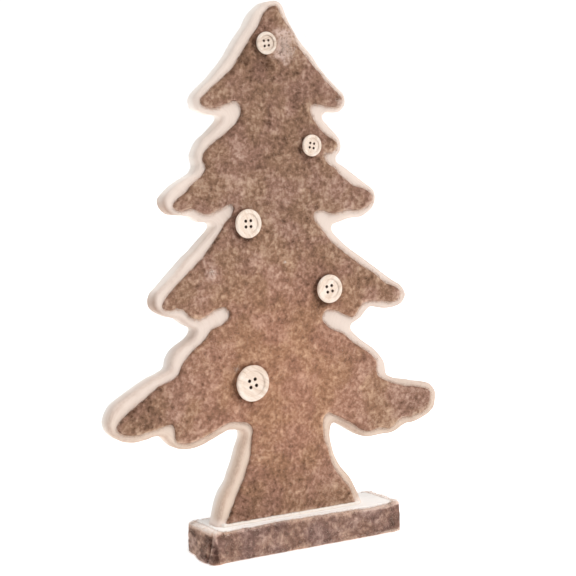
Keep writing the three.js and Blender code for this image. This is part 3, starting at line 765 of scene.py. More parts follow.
EASE = [  # how far the wool stands out past the cut line, in mm, at even steps round it from the right foot
    0.0, 0.7, 0.4, -0.1, -0.4, -0.7, -0.1, 0.2, 0.4, 0.7, 0.6, 0.4, 0.8, 1.1, 0.1, -0.9, -0.6, -0.7, -0.8, -0.7,
    -0.6, -0.6, 0.1, 0.1, -0.3, -0.3, 0.8, 1.1, -0.1, -1.0, -0.6, -0.2, 0.5, 0.8, 0.5, 0.3, 0.2, 0.0, -0.3, -0.5,
    -0.5, -0.3, -0.3, -0.5, -0.6, -0.2, 0.9, 1.1, 0.6, 0.1, 0.0, 0.0, 0.0, 0.3, 0.2, -0.4, -0.4, -0.4, -0.6, -1.0,
    -0.9, -0.8, -0.7, -0.6, 0.4, 0.0, -0.3, -0.4, -0.3, -0.3, -0.3, 0.3, 1.2, 1.4, 0.4, -0.2, -0.1, 0.1, 0.2, -0.3,
    -0.1, -0.1, -0.1, 0.2, 0.3, 0.3, 0.1, 0.2, 0.7, 0.7, 0.2, -0.5, -1.2, -0.9, -0.6, -0.3, 0.1, -0.4, -0.2, 0.3,
    0.9, 1.6, 1.6, 0.3, -0.2, 0.0, 0.5, 0.4, 0.3, 0.5, 0.3, -0.2, -0.7, 0.6, 1.4, 0.7, -0.1, 0.1, 0.5, 0.5,
    0.4, -0.2, -0.6, -0.4, -0.1, 1.8, 2.2, 1.1, 0.5, -0.2, -0.2, -0.2, -0.2, -0.2, -0.2, -0.2, -0.2, 1.1, 1.0, 0.5,
    -0.2, -0.2, -0.2, -0.1, -0.6, -1.1, -1.4, -0.9, -0.7, -0.9, -0.9, -0.8, -0.7, -0.8, -0.9, -0.7, -0.4, -0.2, -0.1, 0.0,
    0.2, 0.3, -0.5, -0.9, -0.9, -1.7, -2.3, -1.4, -1.0, -0.8, -0.9, -0.8, -0.6, -0.6, -0.7, -0.1, -1.0, -1.2, -0.4, 0.1,
    -0.4, -0.6, -0.6, -0.2, 0.4, 0.0, -0.8, -0.5, 0.1, 0.0, 0.1, -0.3, -1.8, -1.8, -0.7, -0.7, -0.8, -0.6, -0.6, -0.6,
    -0.8, -0.6, -0.4, -0.5, -0.5, -0.4, -0.6, -0.5, -0.5, -0.1, -0.1, -0.6, -1.2, -1.1, -0.4, -0.1, 0.3, 0.0, -0.6, -1.4,
    -1.9, -1.3, -0.7, -0.4, -0.4, -0.5, -0.5, -0.5, -0.5, -0.4, -0.5, -0.7, -0.6, -0.3, -0.4, -0.5, -0.8, -0.8, -0.9, -0.7,
    -1.0, -0.9, -0.4, -0.5, -0.6, -0.3, -0.2, 0.2, 0.3, -0.1, -0.7, -1.7, -1.3, -0.2, 0.3, 0.0, 0.3, 0.4, 0.2, 0.3,
    0.2, -0.1, -0.3, -0.5, -1.0, -1.5, -1.2, -1.1, -1.1, -0.8, -0.7, -0.9, -0.9, -1.0, -0.9, -1.0, -0.9, -1.1, -0.9,
]


def felt_outline(foot, seed):
    line = rounded_line(chain_of("front_felt", -9.3, foot), 0.9)
    line = line + outward(line, closed=False) * np.interp(np.linspace(0, 1, len(line)), np.linspace(0, 1, len(EASE)), EASE)[:, None]
    line[[0, -1], 1] = foot
    across = spaced(np.array([line[-1], line[0]]), 0.9)[1:-1]
    loop = np.vstack([line, across])
    n = outward(loop)
    return loop + n * (0.26 * lumps(loop, 3.6, seed) + 0.16 * lumps(loop, 1.3, seed + 1))[:, None]


def make_tree_felt(name, node, outer_level, inner_level, seed, hairs, fuzz, gap, tufts=()):
    """One face's felt. It lies in heights inner_level to outer_level, and its cut edge is soft and squeezed thin. tufts
    are places where pale hairs stand up: (x, z, spread, count, palest shade), in mm."""
    sign = 1 if outer_level > inner_level else -1
    loop = felt_outline(24.3, seed)
    edge = Edge(loop, closed=True)
    r = np.random.default_rng(seed)
    soft = 2.1

    def outer(p):
        d, _ = edge(p)
        x = np.clip(soft - d, 0, soft)
        drop = (soft - np.sqrt(np.maximum(soft ** 2 - x ** 2, 0))) * 0.8 * np.clip((p[:, 1] - 23.3) / 4, 0.2, 1)
        rough = 0.2 * lumps(p, 24, seed + 2) + 0.12 * lumps(p, 7, seed + 3) + 0.13 * lumps(p, 2.6, seed + 4)
        return outer_level + sign * (rough - 0.12 - drop)

    def inner(p):
        return np.full(len(p), inner_level)

    fine = seeds_for(loop, edge, (0.1, 0.32, 0.7, 1.2, 1.9), gap, r)
    coarse = seeds_for(loop, edge, (1.5,), 7.0, r)

    def fluff(p, k):
        return 0.14 * lumps(p, 1.5, seed + 5) + 0.12 * lumps(p, 4, seed + 6)

    args = (fine, outer, coarse, inner) if sign > 0 else (coarse, inner, fine, outer)
    v, faces, corners = plate(loop, [], *args, 4, fluff, small=0.45 if sign > 0 else 1.0)
    near, where = edge(v[:, :2])
    faces_out = outward(loop)[np.round(where / edge.step / len(edge.line) * len(loop)).astype(int) % len(loop)]
    # painted light and shade on the cut edge: lighter where it faces right and down, darker where it faces left and up
    facing = faces_out[:, 0] * 0.8 - faces_out[:, 1] * 0.6
    reach = np.where(facing > 0, 3.0, 1.5) * (1 + 0.45 * lumps(v[:, :2], 2.5, seed + 8))
    edge_light_and_wear = np.clip(1 - near / reach, 0, 1) * np.where(facing > 0, 0.36 * facing, 0.10 * facing)
    ob = mesh_object(name, upright(v), faces, corners, point_values={"edge_light_and_wear": edge_light_and_wear})
    ob.data.materials.append(tree_felt)
    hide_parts(node)
    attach(ob, "root")

    # hairs lying on the face
    low, high = loop.min(0), loop.max(0)
    p = r.uniform(low, high, (int(hairs * 3.2), 2))
    p = p[inside(p, loop[::2])]
    far, _ = edge(p)
    p = p[far > 0.8][:hairs]
    turn = r.uniform(0, 2 * np.pi, len(p))
    way = np.column_stack([np.cos(turn), np.zeros(len(p)), np.sin(turn)])
    up = np.tile([0.0, -float(sign), 0.0], (len(p), 1))
    root = np.column_stack([p[:, 0], -outer(p) + sign * 0.02, p[:, 1]])
    length, lift = r.uniform(1.6, 4.6, len(p)), r.gamma(2.0, 0.08, len(p)) + 0.03
    thick, bow = r.uniform(0.022, 0.042, len(p)), r.normal(0, 1.1, len(p))
    shade = np.clip(r.normal(0.36, 0.19, len(p)), 0, 0.75)
    for x, z, spread, count, low_shade in tufts:
        spot = np.array([x, z]) + r.normal(0, spread, (count, 2))
        turn = r.normal(r.uniform(0, 2 * np.pi), 1.0, count)
        root = np.vstack([root, np.column_stack([spot[:, 0], -outer(spot) + sign * 0.02, spot[:, 1]])])
        way = np.vstack([way, np.column_stack([np.cos(turn), np.zeros(count), np.sin(turn)])])
        up = np.vstack([up, np.tile([0.0, -float(sign), 0.0], (count, 1))])
        length = np.concatenate([length, r.uniform(1.0, 2.6, count)])
        lift = np.concatenate([lift, r.gamma(2.0, 0.2, count) + 0.05])
        thick = np.concatenate([thick, r.uniform(0.03, 0.055, count)])
        bow = np.concatenate([bow, r.normal(0, 1.8, count)])
        shade = np.concatenate([shade, r.uniform(low_shade, 1.0, count)])
    # hairs standing out of the cut edge, set lighter than the face hairs: painted highlight of lit fuzz
    m = int(hairs * fuzz)
    at = r.uniform(0, len(loop), m * 2)
    i = at.astype(int)
    i = i[r.random(m * 2) < 0.5 + 0.3 * (outward(loop)[i, 0] - 0.5 * outward(loop)[i, 1])][:m]
    m = len(i)
    n2 = outward(loop)[i]
    skew = r.normal(0, 0.75, m)
    c, s = np.cos(skew), np.sin(skew)
    w2 = np.column_stack([n2[:, 0] * c - n2[:, 1] * s, n2[:, 0] * s + n2[:, 1] * c])
    depth = r.uniform(0.15, 1.0, m)
    level = inner_level + (outer_level - sign * 0.35 - inner_level) * depth
    out = r.uniform(-0.35, 0.35, m) * sign
    way2 = np.column_stack([w2[:, 0], -out, w2[:, 1]])
    way2 /= np.linalg.norm(way2, axis=1, keepdims=True)
    length2 = r.gamma(3.0, 0.5, m) + 0.8
    root2 = np.column_stack([loop[i, 0], -level, loop[i, 1]]) + way2 * (length2 * 0.32)[:, None]
    up2 = np.tile([0.0, -float(sign), 0.0], (m, 1))
    up2 -= way2 * (up2 * way2).sum(1, keepdims=True)
    up2 /= np.linalg.norm(up2, axis=1, keepdims=True)
    ob.data.update()
    hair = fibre_mesh(
        name + "_hairs", np.vstack([root, root2]), np.vstack([way, way2]), np.vstack([up, up2]),
        np.concatenate([length, length2]), np.concatenate([lift, r.gamma(2.0, 0.07, m)]),
        np.concatenate([thick, r.uniform(0.034, 0.058, m)]), np.concatenate([bow, r.normal(0, 1.6, m)]),
        np.concatenate([shade, np.clip(r.normal(0.64, 0.16, m), 0, 0.85)]), tree_hair)
    d = loop
    area = abs(float((d[:, 0] * np.roll(d[:, 1], -1) - np.roll(d[:, 0], -1) * d[:, 1]).sum() / 2))
    return ob


front_felt = make_tree_felt("front_felt_wool", "front_felt", 11.9, 9.06, 31, 7500, 1.1, 0.95,
                            ((7.5, 346, 3.2, 300, 0.75), (9.5, 341, 2.6, 160, 0.75), (14, 339.5, 1.2, 30, 0.8), (-53, 195, 1.3, 60, 0.8),
                             (3.5, 198, 0.35, 24, 0.9), (-36.5, 128.5, 1.0, 45, 0.7), (24, 350.5, 1.5, 30, 0.7), (51.5, 305, 1.6, 60, 0.7)))
back_felt = make_tree_felt("back_felt_wool", "back_felt", -8.9, -6.06, 71, 5000, 0.8, 1.3)

# ---- foot --------------------------------------------------------------------------------------


def rounded_rectangle(cx, long, deep, radius, step):
    """Anticlockwise from the middle of the left end."""
    x, y, r = long / 2, deep / 2, radius
    def arc(px, py, a0, a1):
        t = np.linspace(a0, a1, 9)
        return np.column_stack([px + r * np.cos(t), py + r * np.sin(t)])
    line = np.vstack([[[-x, 0]], arc(-x + r, -y + r, np.pi, 1.5 * np.pi), arc(x - r, -y + r, 1.5 * np.pi, 2 * np.pi),
                      arc(x - r, y - r, 0, 0.5 * np.pi), arc(-x + r, y - r, 0.5 * np.pi, np.pi), [[-x, 0]]])
    return spaced(line + [cx, 0], step)[:-1]


BASE_X = 12.7


def make_base_board():
    loop = rounded_rectangle(BASE_X, 139, 36, 1.6, 0.8)
    edge = Edge(loop, closed=True)
    r = np.random.default_rng(3)
    holes, screws = [], [(-24.0, -1.5), (30.0, -1.5)]
    for x, y in screws:
        t = -np.linspace(0, 2 * np.pi, 40, endpoint=False)
        holes.append(np.column_stack([x + 2.5 * np.cos(t), y + 2.5 * np.sin(t)]))

    def top(p):
        d, _ = edge(p)
        x = np.clip(0.6 - d, 0, 0.6)
        return 22 - (0.6 - np.sqrt(np.maximum(0.36 - x ** 2, 0))) - 0.03 + 0.03 * lumps(p, 22, 5)

    def bottom(p):
        d, _ = edge(p)
        x = np.clip(0.8 - d, 0, 0.8)
        h = 0.8 - np.sqrt(np.maximum(0.64 - x ** 2, 0))
        for sx, sy in screws:
            q = np.hypot(p[:, 0] - sx, p[:, 1] - sy)
            sink = np.interp(q, [2.5, 4.6, 4.601, 4.66], [4.0, 0.9, 0.9, 0.0])
            h = np.maximum(h, sink)
        return h

    insets = (0.05, 0.2, 0.42, 0.7, 1.1)
    seeds_top = seeds_for(loop, edge, insets, 3.0, r)
    seeds_low = seeds_for(loop, edge, insets, 4.0, r)
    around = []
    for x, y in screws:
        q = np.hypot(seeds_low[:, 0] - x, seeds_low[:, 1] - y)
        seeds_low = seeds_low[q > 6]
        seeds_top = seeds_top[np.hypot(seeds_top[:, 0] - x, seeds_top[:, 1] - y) > 3.2]
        t = np.linspace(0, 2 * np.pi, 40, endpoint=False)
        for rad in (3.2, 3.9, 4.6, 4.66, 5.2):
            around.append(np.column_stack([x + rad * np.cos(t), y + rad * np.sin(t)]))
    v, faces, corners = plate(loop, holes, seeds_top, top, np.vstack([seeds_low, *around]), bottom, 6)
    ob = mesh_object("base_board_painted", v * MM, faces, corners)
    ob.data.materials.append(base_paint)
    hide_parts("base_board")
    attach(ob, "root")
    return ob


base_board = make_base_board()


def make_band():
    """The felt strip: it runs once round the foot board, and its ends meet behind the front left corner."""
    seed = 203
    inner = rounded_rectangle(BASE_X, 139.2, 36.2, 1.7, 0.45)
    start = int(np.argmin(np.hypot(inner[:, 0] - (BASE_X - 69.6), inner[:, 1] + 15.2)))
    path = np.roll(inner, -start, 0)
    path = np.vstack([path, path[:1]])
    length = np.linalg.norm(np.diff(path, axis=0), axis=1).sum()
    path = spaced(path, 0.1)
    s = np.linspace(0, length, len(path))
    bend = np.hypot(*(np.abs(path - [BASE_X, 0]) - [68.4, 16.9]).T) < 3.2
    keep = (s > 0.25) & (s < length - 0.25) & (np.arange(len(path)) % np.where(bend, 2, 5) == 0)
    path, s = path[keep], s[keep]
    n = np.column_stack([np.gradient(path[:, 1]), -np.gradient(path[:, 0])])
    k = np.ones(5) / 5
    n = np.column_stack([np.convolve(np.pad(n[:, i], 2, "edge"), k, "valid") for i in (0, 1)])
    n /= np.linalg.norm(n, axis=1, keepdims=True)
    at = np.column_stack([s, np.zeros(len(s))])
    # the strip's two long edges
    left = np.clip((BASE_X - 66 - path[:, 0]) / 3, 0, 1)
    right = np.clip((path[:, 0] - (BASE_X + 66)) / 3, 0, 1)
    back = np.clip((path[:, 1] + 21) / 40, 0, 1)
    high = 21.35 + 0.35 * lumps(at, 26, seed) + 0.25 * lumps(at, 7, seed + 1) + 0.16 * lumps(at, 2.4, seed + 2)
    front = path[:, 1] < -17
    dip = np.exp(-((path[:, 0] - 62) / 13) ** 2) * front
    high = np.minimum(high - 0.9 * dip, 21.8) + 0.8 * np.maximum(right, left * (1 - 0.8 * back))
    low = 0.12 + 0.16 * np.abs(lumps(at, 9, seed + 3)) + 0.1 * np.abs(lumps(at, 2.2, seed + 4))
    # how far it stands off the board: a little everywhere, more low down at the ends, most where the two ends flare
    slit = np.minimum(s, length - s)
    groove = np.exp(-(slit / 1.1) ** 2)
    at_left, at_right = np.clip(-n[:, 0], 0, 1) ** 2, np.clip(n[:, 0], 0, 1) ** 2

    def stand(z, side):
        f = np.clip(z / 21, 0, 1)
        off = at_left * 0.5 * (1 - f) ** 1.5 * (0.75 + 0.35 * np.sin(path[:, 1] / 5.5)) + at_right * 0.4 * (1 - f) ** 1.5
        return off + 0.1 * (1 + lumps(np.column_stack([s, z]), 17, seed + 6)) * (1 - f)

    # thicker at the ends than along the front, and folded sharply at the corners
    ends = np.where(n[:, 0] < 0, 4.6, 4.35)
    thick = np.minimum(ends / np.maximum(np.abs(n[:, 0]), 1e-6), 2.75 / np.maximum(np.abs(n[:, 1]), 1e-6))
    thick = thick * (1 - 0.4 * groove)
    splay = np.clip((15 - path[:, 1]) / 24, 0, 1)
    splay = splay * splay * (3 - 2 * splay) * np.clip(-n[:, 0], 0, 1) * (1 - 0.35 * groove)
    rows = []  # (share of height, place across the thickness, roughness)
    up = np.linspace(0.045, 0.86, 21)
    rows += [(f, 1.0) for f in up]
    rows += [(0.905, 0.995), (0.945, 0.97), (0.97, 0.92), (0.988, 0.83), (0.998, 0.64), (1.0, 0.25), (0.988, 0.03)]
    rows += [(f, 0.0) for f in np.linspace(0.9, 0.1, 6)]
    rows += [(0.025, 0.06), (0.0, 0.3), (0.0, 0.6), (0.015, 0.87)]
    rings = []
    for f, across in rows:
        z = low + (high - low) * f
        off = stand(z, 1.0) + 0.02
        full = 0.35 * np.sin(np.pi * f) * (across > 0.9) + 4.7 * splay * (1.02 - f) ** 1.4 * (across > 0.5)
        p = path + n * (off + across * thick + full)[:, None]
        q = np.column_stack([p, z])
        if across > 0.5:
            rough = (0.2 + 0.15 * at_left) * lumps(q, 8, seed + 8) + 0.2 * lumps(q, 2.5, seed + 9)
            q[:, :2] += n * rough[:, None]
        rings.append(q)
    rings = np.array(rings)  # rows x steps x 3
    rings[:, :, 2] = np.maximum(rings[:, :, 2], 0.03)
    nr, ns = rings.shape[:2]
    verts = rings.transpose(1, 0, 2).reshape(-1, 3)
    i, j = np.meshgrid(np.arange(ns - 1), np.arange(nr), indexing="ij")
    a = i * nr + j
    b = i * nr + (j + 1) % nr
    quads = np.stack([a, a + nr, b + nr, b], -1).reshape(-1, 4)
    around = np.concatenate([[0], np.cumsum(np.linalg.norm(np.diff(rings[:, ns // 2], axis=0), axis=1))])
    around = np.append(around, around[-1] + 2.4)
    tall = around[-1] + 2
    u = s - s[0]
    rowlen = 96.0
    line = np.floor(u[:-1] / rowlen)
    u0, u1 = u[:-1] - line * rowlen + 1, u[1:] - line * rowlen + 1
    cu0, cu1 = np.repeat(u0, nr), np.repeat(u1, nr)
    v0 = (line * tall)[:, None] + around[:-1][None] + 1
    v1 = (line * tall)[:, None] + around[1:][None] + 1
    c = np.stack([np.column_stack([cu0, v0.ravel()]), np.column_stack([cu1, v0.ravel()]),
                  np.column_stack([cu1, v1.ravel()]), np.column_stack([cu0, v1.ravel()])], 1)
    side = max(rowlen + 14, (line.max() + 1) * tall + 3)
    # closed ends: a fan from a middle point
    caps, end_corners = [], []
    extra = []
    for e, step in ((0, 1), (ns - 1, -1)):
        ring = np.arange(nr) + e * nr
        mid = rings[:, e].mean(0) - (rings[:, e + step].mean(0) - rings[:, e].mean(0)) * 0.25
        extra.append(mid)
        hub = ns * nr + len(extra) - 1
        nxt = np.roll(ring, -1)
        tri = np.column_stack([ring, nxt, np.full(nr, hub)]) if step > 0 else np.column_stack([nxt, ring, np.full(nr, hub)])
        caps.append(tri)
        angle = np.arange(nr) / nr * 2 * np.pi
        centre = np.array([rowlen + 7, 8 + 12 * (len(extra) - 1)])
        p = centre + 4.5 * np.column_stack([np.cos(angle), np.sin(angle)])
        q = np.roll(p, -1, 0)
        tri_uv = np.stack([p, q, np.tile(centre, (nr, 1))], 1) if step > 0 else np.stack([q, p, np.tile(centre, (nr, 1))], 1)
        end_corners.append(tri_uv)
    verts = np.vstack([verts, extra])
    rise = np.array([f for f, _ in rows])
    ends = np.maximum(at_left, at_right)
    low_down = 0.9 - np.maximum(0.09 * ends, 0.06 * np.clip((path[:, 0] - 5) / 30, 0, 1))
    # painted highlight: the strip's top rim is lighter, most at the two ends
    brim = np.clip((rise[None, :] - low_down[:, None]) / (0.99 - low_down[:, None]), 0, 1)
    # painted shade: darker in the seam on the left end, near the slit
    dark = 0.15 * np.exp(-((slit - 0.4) / 4.0) ** 2) * np.clip((-n[:, 0] - 0.55) / 0.3, 0, 1)
    scuffed = front * np.clip((path[:, 0] - 51) / 7, 0, 1) * (0.41 - 0.008 * np.clip(path[:, 0] - 70, 0, 20) + 0.05 * lumps(at, 3, seed + 12))
    corner = np.clip((path[:, 0] - 66) / 8, 0, 1)
    frayed = np.clip((rise[None, :] - 0.895 + 0.045 * corner[:, None]) / 0.06, 0, 1)
    edge_light_and_wear = np.maximum(brim * (0.26 + 0.95 * ends)[:, None], scuffed[:, None] * frayed)
    hem = np.clip((0.1 - rise[None, :] + 0.04 * (front * corner)[:, None]) / 0.1, 0, 1)
    edge_light_and_wear = edge_light_and_wear + hem * (0.2 + 0.35 * front * corner)[:, None] - dark[:, None]
    # the cut ends inside the slit are darker: painted shade
    edge_light_and_wear = np.concatenate([edge_light_and_wear.ravel(), np.full(len(extra), -0.4)])
    ob = mesh_object("base_felt_wool", verts * MM, [quads, np.vstack(caps)], [c / side, np.vstack(end_corners) / side],
                     point_values={"edge_light_and_wear": edge_light_and_wear})
    bm = bmesh.new()
    bm.from_mesh(ob.data)
    inward = bm.calc_volume(signed=True) < 0
    bm.free()
    if inward:
        ob.data.flip_normals()
    ob.data.materials.append(band_felt)
    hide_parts("base_felt_band")
    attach(ob, "root")

    # hairs on its face and out of its edges; the edge hairs are lighter: a lighter fringe, and painted highlight on the
    # top rim
    r = np.random.default_rng(seed)
    m = 13000
    i = r.integers(1, ns - 1, m)
    j = r.integers(0, 22, m)
    edge = r.random(m) < 0.55
    j = np.where(edge, np.where(r.random(m) < 0.6, r.integers(21, 28, m), r.integers(nr - 3, nr + 3, m) % nr), j)
    root = rings[j, i]
    normal = np.column_stack([n[i], np.zeros(m)])
    tangent = np.column_stack([-n[i][:, 1], n[i][:, 0], np.zeros(m)])
    up = np.where((edge & (j > 3) & (j < 29))[:, None], np.array([0, 0, 1.0]), np.where(edge[:, None], np.array([0, 0, -0.25]), normal))
    up = up + 0.6 * normal * edge[:, None]
    up /= np.linalg.norm(up, axis=1, keepdims=True)
    turn = r.uniform(0, 2 * np.pi, m)
    flat_b = np.cross(up, tangent)
    way = tangent * np.cos(turn)[:, None] + flat_b * np.sin(turn)[:, None]
    stand_up = edge & (r.random(m) < 0.6)
    tilt = np.where(stand_up, r.uniform(0.4, 1.1, m), r.uniform(-0.1, 0.15, m))
    way = way * np.cos(tilt)[:, None] + up * np.sin(tilt)[:, None]
    up = up - way * (up * way).sum(1, keepdims=True)
    up /= np.linalg.norm(up, axis=1, keepdims=True)
    length = np.where(edge, r.gamma(3.0, 0.45, m) + 0.8, r.uniform(1.4, 4.2, m))
    root = root + way * (length * 0.3 * stand_up)[:, None]
    room = root[:, 2] - 0.05
    down = np.minimum(way[:, 2], 0) * length * 0.5
    ok = room + down > 0
    hair = fibre_mesh(
        "base_felt_hairs", root[ok], way[ok], up[ok], length[ok], (r.gamma(2.0, 0.08, m) + 0.03)[ok], r.uniform(0.025, 0.048, m)[ok],
        r.normal(0, 1.2, m)[ok], np.clip(r.normal(0.4, 0.2, m) + 0.36 * edge, 0, 1.0)[ok], band_hair)
    return ob


band = make_band()

# ---- buttons -----------------------------------------------------------------------------------


def make_button(k, d, t, x, z, turn, pitch, hole):
    R = d / 2 * (1.0, 0.985, 0.97, 0.985, 0.985)[k]
    x = x - (0.0, 0.6, 0.8, 0.6, 0.6)[k]
    n = 132
    a = np.linspace(0, 2 * np.pi, n, endpoint=False)
    r = np.random.default_rng(500 + k)
    wob = 1 + 0.011 * lumps(np.column_stack([np.cos(a), np.sin(a)]) * 3, 1.6, 40 + k)
    loop = np.column_stack([np.cos(a), np.sin(a)]) * (R * wob)[:, None]
    centres, holes = [], []
    for q in range(4):
        ang = math.radians(45 + turn + 90 * q)
        c = np.array([math.cos(ang), math.sin(ang)]) * pitch / math.sqrt(2) + r.normal(0, 0.05, 2)
        b = -np.linspace(0, 2 * np.pi, 26, endpoint=False)
        centres.append(c)
        holes.append(c + hole * np.column_stack([np.cos(b), np.sin(b)]))
    front = ((0, .70), (.3, .695), (.5, .68), (.58, .665), (.63, .655), (.66, .66), (.69, .72), (.715, .84), (.745, .935),
             (.79, .985), (.84, 1.0), (.89, .995), (.93, .965), (.965, .905), (.985, .83), (1.0, .72))
    rear = ((0, .0), (.72, .0), (.79, .03), (.86, .10), (.92, .21), (.96, .33), (.985, .44), (1.0, .56))

    def smooth(q, table):
        xs, ys = np.array(table).T
        slopes = np.gradient(ys, xs)
        i = np.clip(np.searchsorted(xs, q) - 1, 0, len(xs) - 2)
        h = xs[i + 1] - xs[i]
        u = np.clip((q - xs[i]) / h, 0, 1)
        return ((2 * u**3 - 3 * u**2 + 1) * ys[i] + (u**3 - 2 * u**2 + u) * h * slopes[i]
                + (-2 * u**3 + 3 * u**2) * ys[i + 1] + (u**3 - u**2) * h * slopes[i + 1])

    def radius(p):
        ang = np.arctan2(p[:, 1], p[:, 0]) % (2 * np.pi)
        return np.hypot(p[:, 0], p[:, 1]) / (R * np.interp(ang, a, wob, period=2 * np.pi))

    def hole_lip(p):
        gone = np.zeros(len(p))
        for c in centres:
            e = np.hypot(*(p - c).T) - hole
            gone = np.maximum(gone, np.clip(1 - e / 0.28, 0, 1) ** 2)
        return gone * 0.22

    def top(p):
        return BUTTON_BACK + t * smooth(np.minimum(radius(p), 1), front) - hole_lip(p) + 0.02 * lumps(p, 3, 60 + k)

    def bottom(p):
        return BUTTON_BACK + t * smooth(np.minimum(radius(p), 1), rear) + hole_lip(p)

    def clear(p, by):
        keep = np.ones(len(p), bool)
        for c in centres:
            keep &= np.hypot(*(p - c).T) > hole + by
        return p[keep]

    lips = [c + (hole + e) * np.column_stack([np.cos(b), np.sin(b)]) for c in centres for e in (0.07, 0.16, 0.3)]
    rims = [loop * q for q in (.995, .985, .97, .95, .925, .89, .86, .83, .805, .785, .765, .745, .73, .715, .7, .688, .675, .66, .64, .62)]
    inner = scattered(np.array([-R, -R]), np.array([R, R]), 0.5, r)
    inner = clear(inner[np.hypot(inner[:, 0], inner[:, 1]) < 0.60 * R], 0.42)
    low = [loop * q for q in (.995, .985, .965, .935, .9, .86, .82, .78, .74)]
    inner_low = scattered(np.array([-R, -R]), np.array([R, R]), 1.1, r)
    inner_low = clear(inner_low[np.hypot(inner_low[:, 0], inner_low[:, 1]) < 0.7 * R], 0.6)
    v, faces, corners = plate(loop, holes, np.vstack([*rims, *lips, inner]), top, np.vstack([*low, *lips, inner_low]), bottom, 5)
    gap = np.min([np.abs(np.hypot(*(v[:, :2] - c).T) - hole) for c in centres], axis=0)
    level = BUTTON_BACK + t * 0.7 - v[:, 2]
    # painted shade: dark hole walls below the face, a darker ring round each hole, and a shadow arc along the dish
    # wall, strongest at the upper right
    dish_and_hole_shade = np.clip(1 - gap / 0.05, 0, 1) * np.clip((level + 0.05) / 0.15, 0, 1) * (np.hypot(v[:, 0], v[:, 1]) < 0.6 * R)
    tint = np.clip(1 - gap / 0.14, 0, 1) * 0.35 * (np.hypot(v[:, 0], v[:, 1]) < 0.6 * R)
    ang = np.arctan2(v[:, 1], v[:, 0])
    line = np.exp(-((radius(v) - 0.69) / (0.036, 0.024, 0.024, 0.024, 0.024)[k]) ** 2) * (v[:, 2] > BUTTON_BACK + 0.5 * t)
    line *= (0.66, 0.2, 0.26, 0.3, 0.2)[k] * np.clip(0.3 + 0.75 * np.cos(ang - 0.7), 0, 1)
    v[:, 0] += x
    v[:, 1] += z
    ob = mesh_object(f"button_{k + 1}_wood", upright(v), faces, corners, point_values={"dish_and_hole_shade": np.maximum(np.maximum(dish_and_hole_shade, tint), line)})
    # the last numbers darken each button's wood, the top one most: painted shade
    ob.data.materials.append(wood_button_material(f"pale_wood_{k + 1}", (0.3, 1.2, 2.0, 0.8, 2.6)[k], 0.37 * k,
                                                  (0.85, 0.92, 0.93, 0.95, 0.93)[k]))
    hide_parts(f"button_{k + 1}")
    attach(ob, "root")
    return ob


buttons = [make_button(k, *b) for k, b in enumerate(BUTTONS)]

# ---- glue dabs ---------------------------------------------------------------------------------

glue = glue_material()


def make_glue(k, d, t, x, z, *_):
    """A squeezed dab between the felt and the button."""
    r = np.random.default_rng(900 + k)
    n = 72
    a = np.linspace(0, 2 * np.pi, n, endpoint=False)
    ring = np.column_stack([np.cos(a), np.sin(a)])
    R = d * 0.25 * (1 + 0.12 * lumps(ring * 2.2, 1.7, 80 + k))
    loop = ring * R[:, None]
    low, high = BUTTON_BACK - 1.2, BUTTON_BACK - 0.02

    def pinch(p):
        ang = np.arctan2(p[:, 1], p[:, 0]) % (2 * np.pi)
        q = np.clip(np.hypot(p[:, 0], p[:, 1]) / np.interp(ang, a, R, period=2 * np.pi), 0, 1)
        return 0.42 * np.clip((q - 0.78) / 0.22, 0, 1) ** 2.2

    seeds = np.vstack([loop * q for q in (.985, .95, .9, .84, .78, .6, .4, .2)])
    v, faces, corners = plate(loop, [], seeds, lambda p: high - 0.6 * pinch(p), seeds, lambda p: low + 0.9 * pinch(p), 4,
                              lambda p, k: 0.16 * np.sin(np.pi * np.full(len(p), k)))
    v[:, 0] += x
    v[:, 1] += z
    ob = mesh_object(f"button_glue_{k + 1}_dab", upright(v), faces, corners)
    ob.data.materials.append(glue)
    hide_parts(f"button_glue_{k + 1}")
    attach(ob, "root")
    return ob


dabs = [make_glue(k, *b) for k, b in enumerate(BUTTONS)]

# ---- screws ------------------------------------------------------------------------------------

zinc = zinc_material()


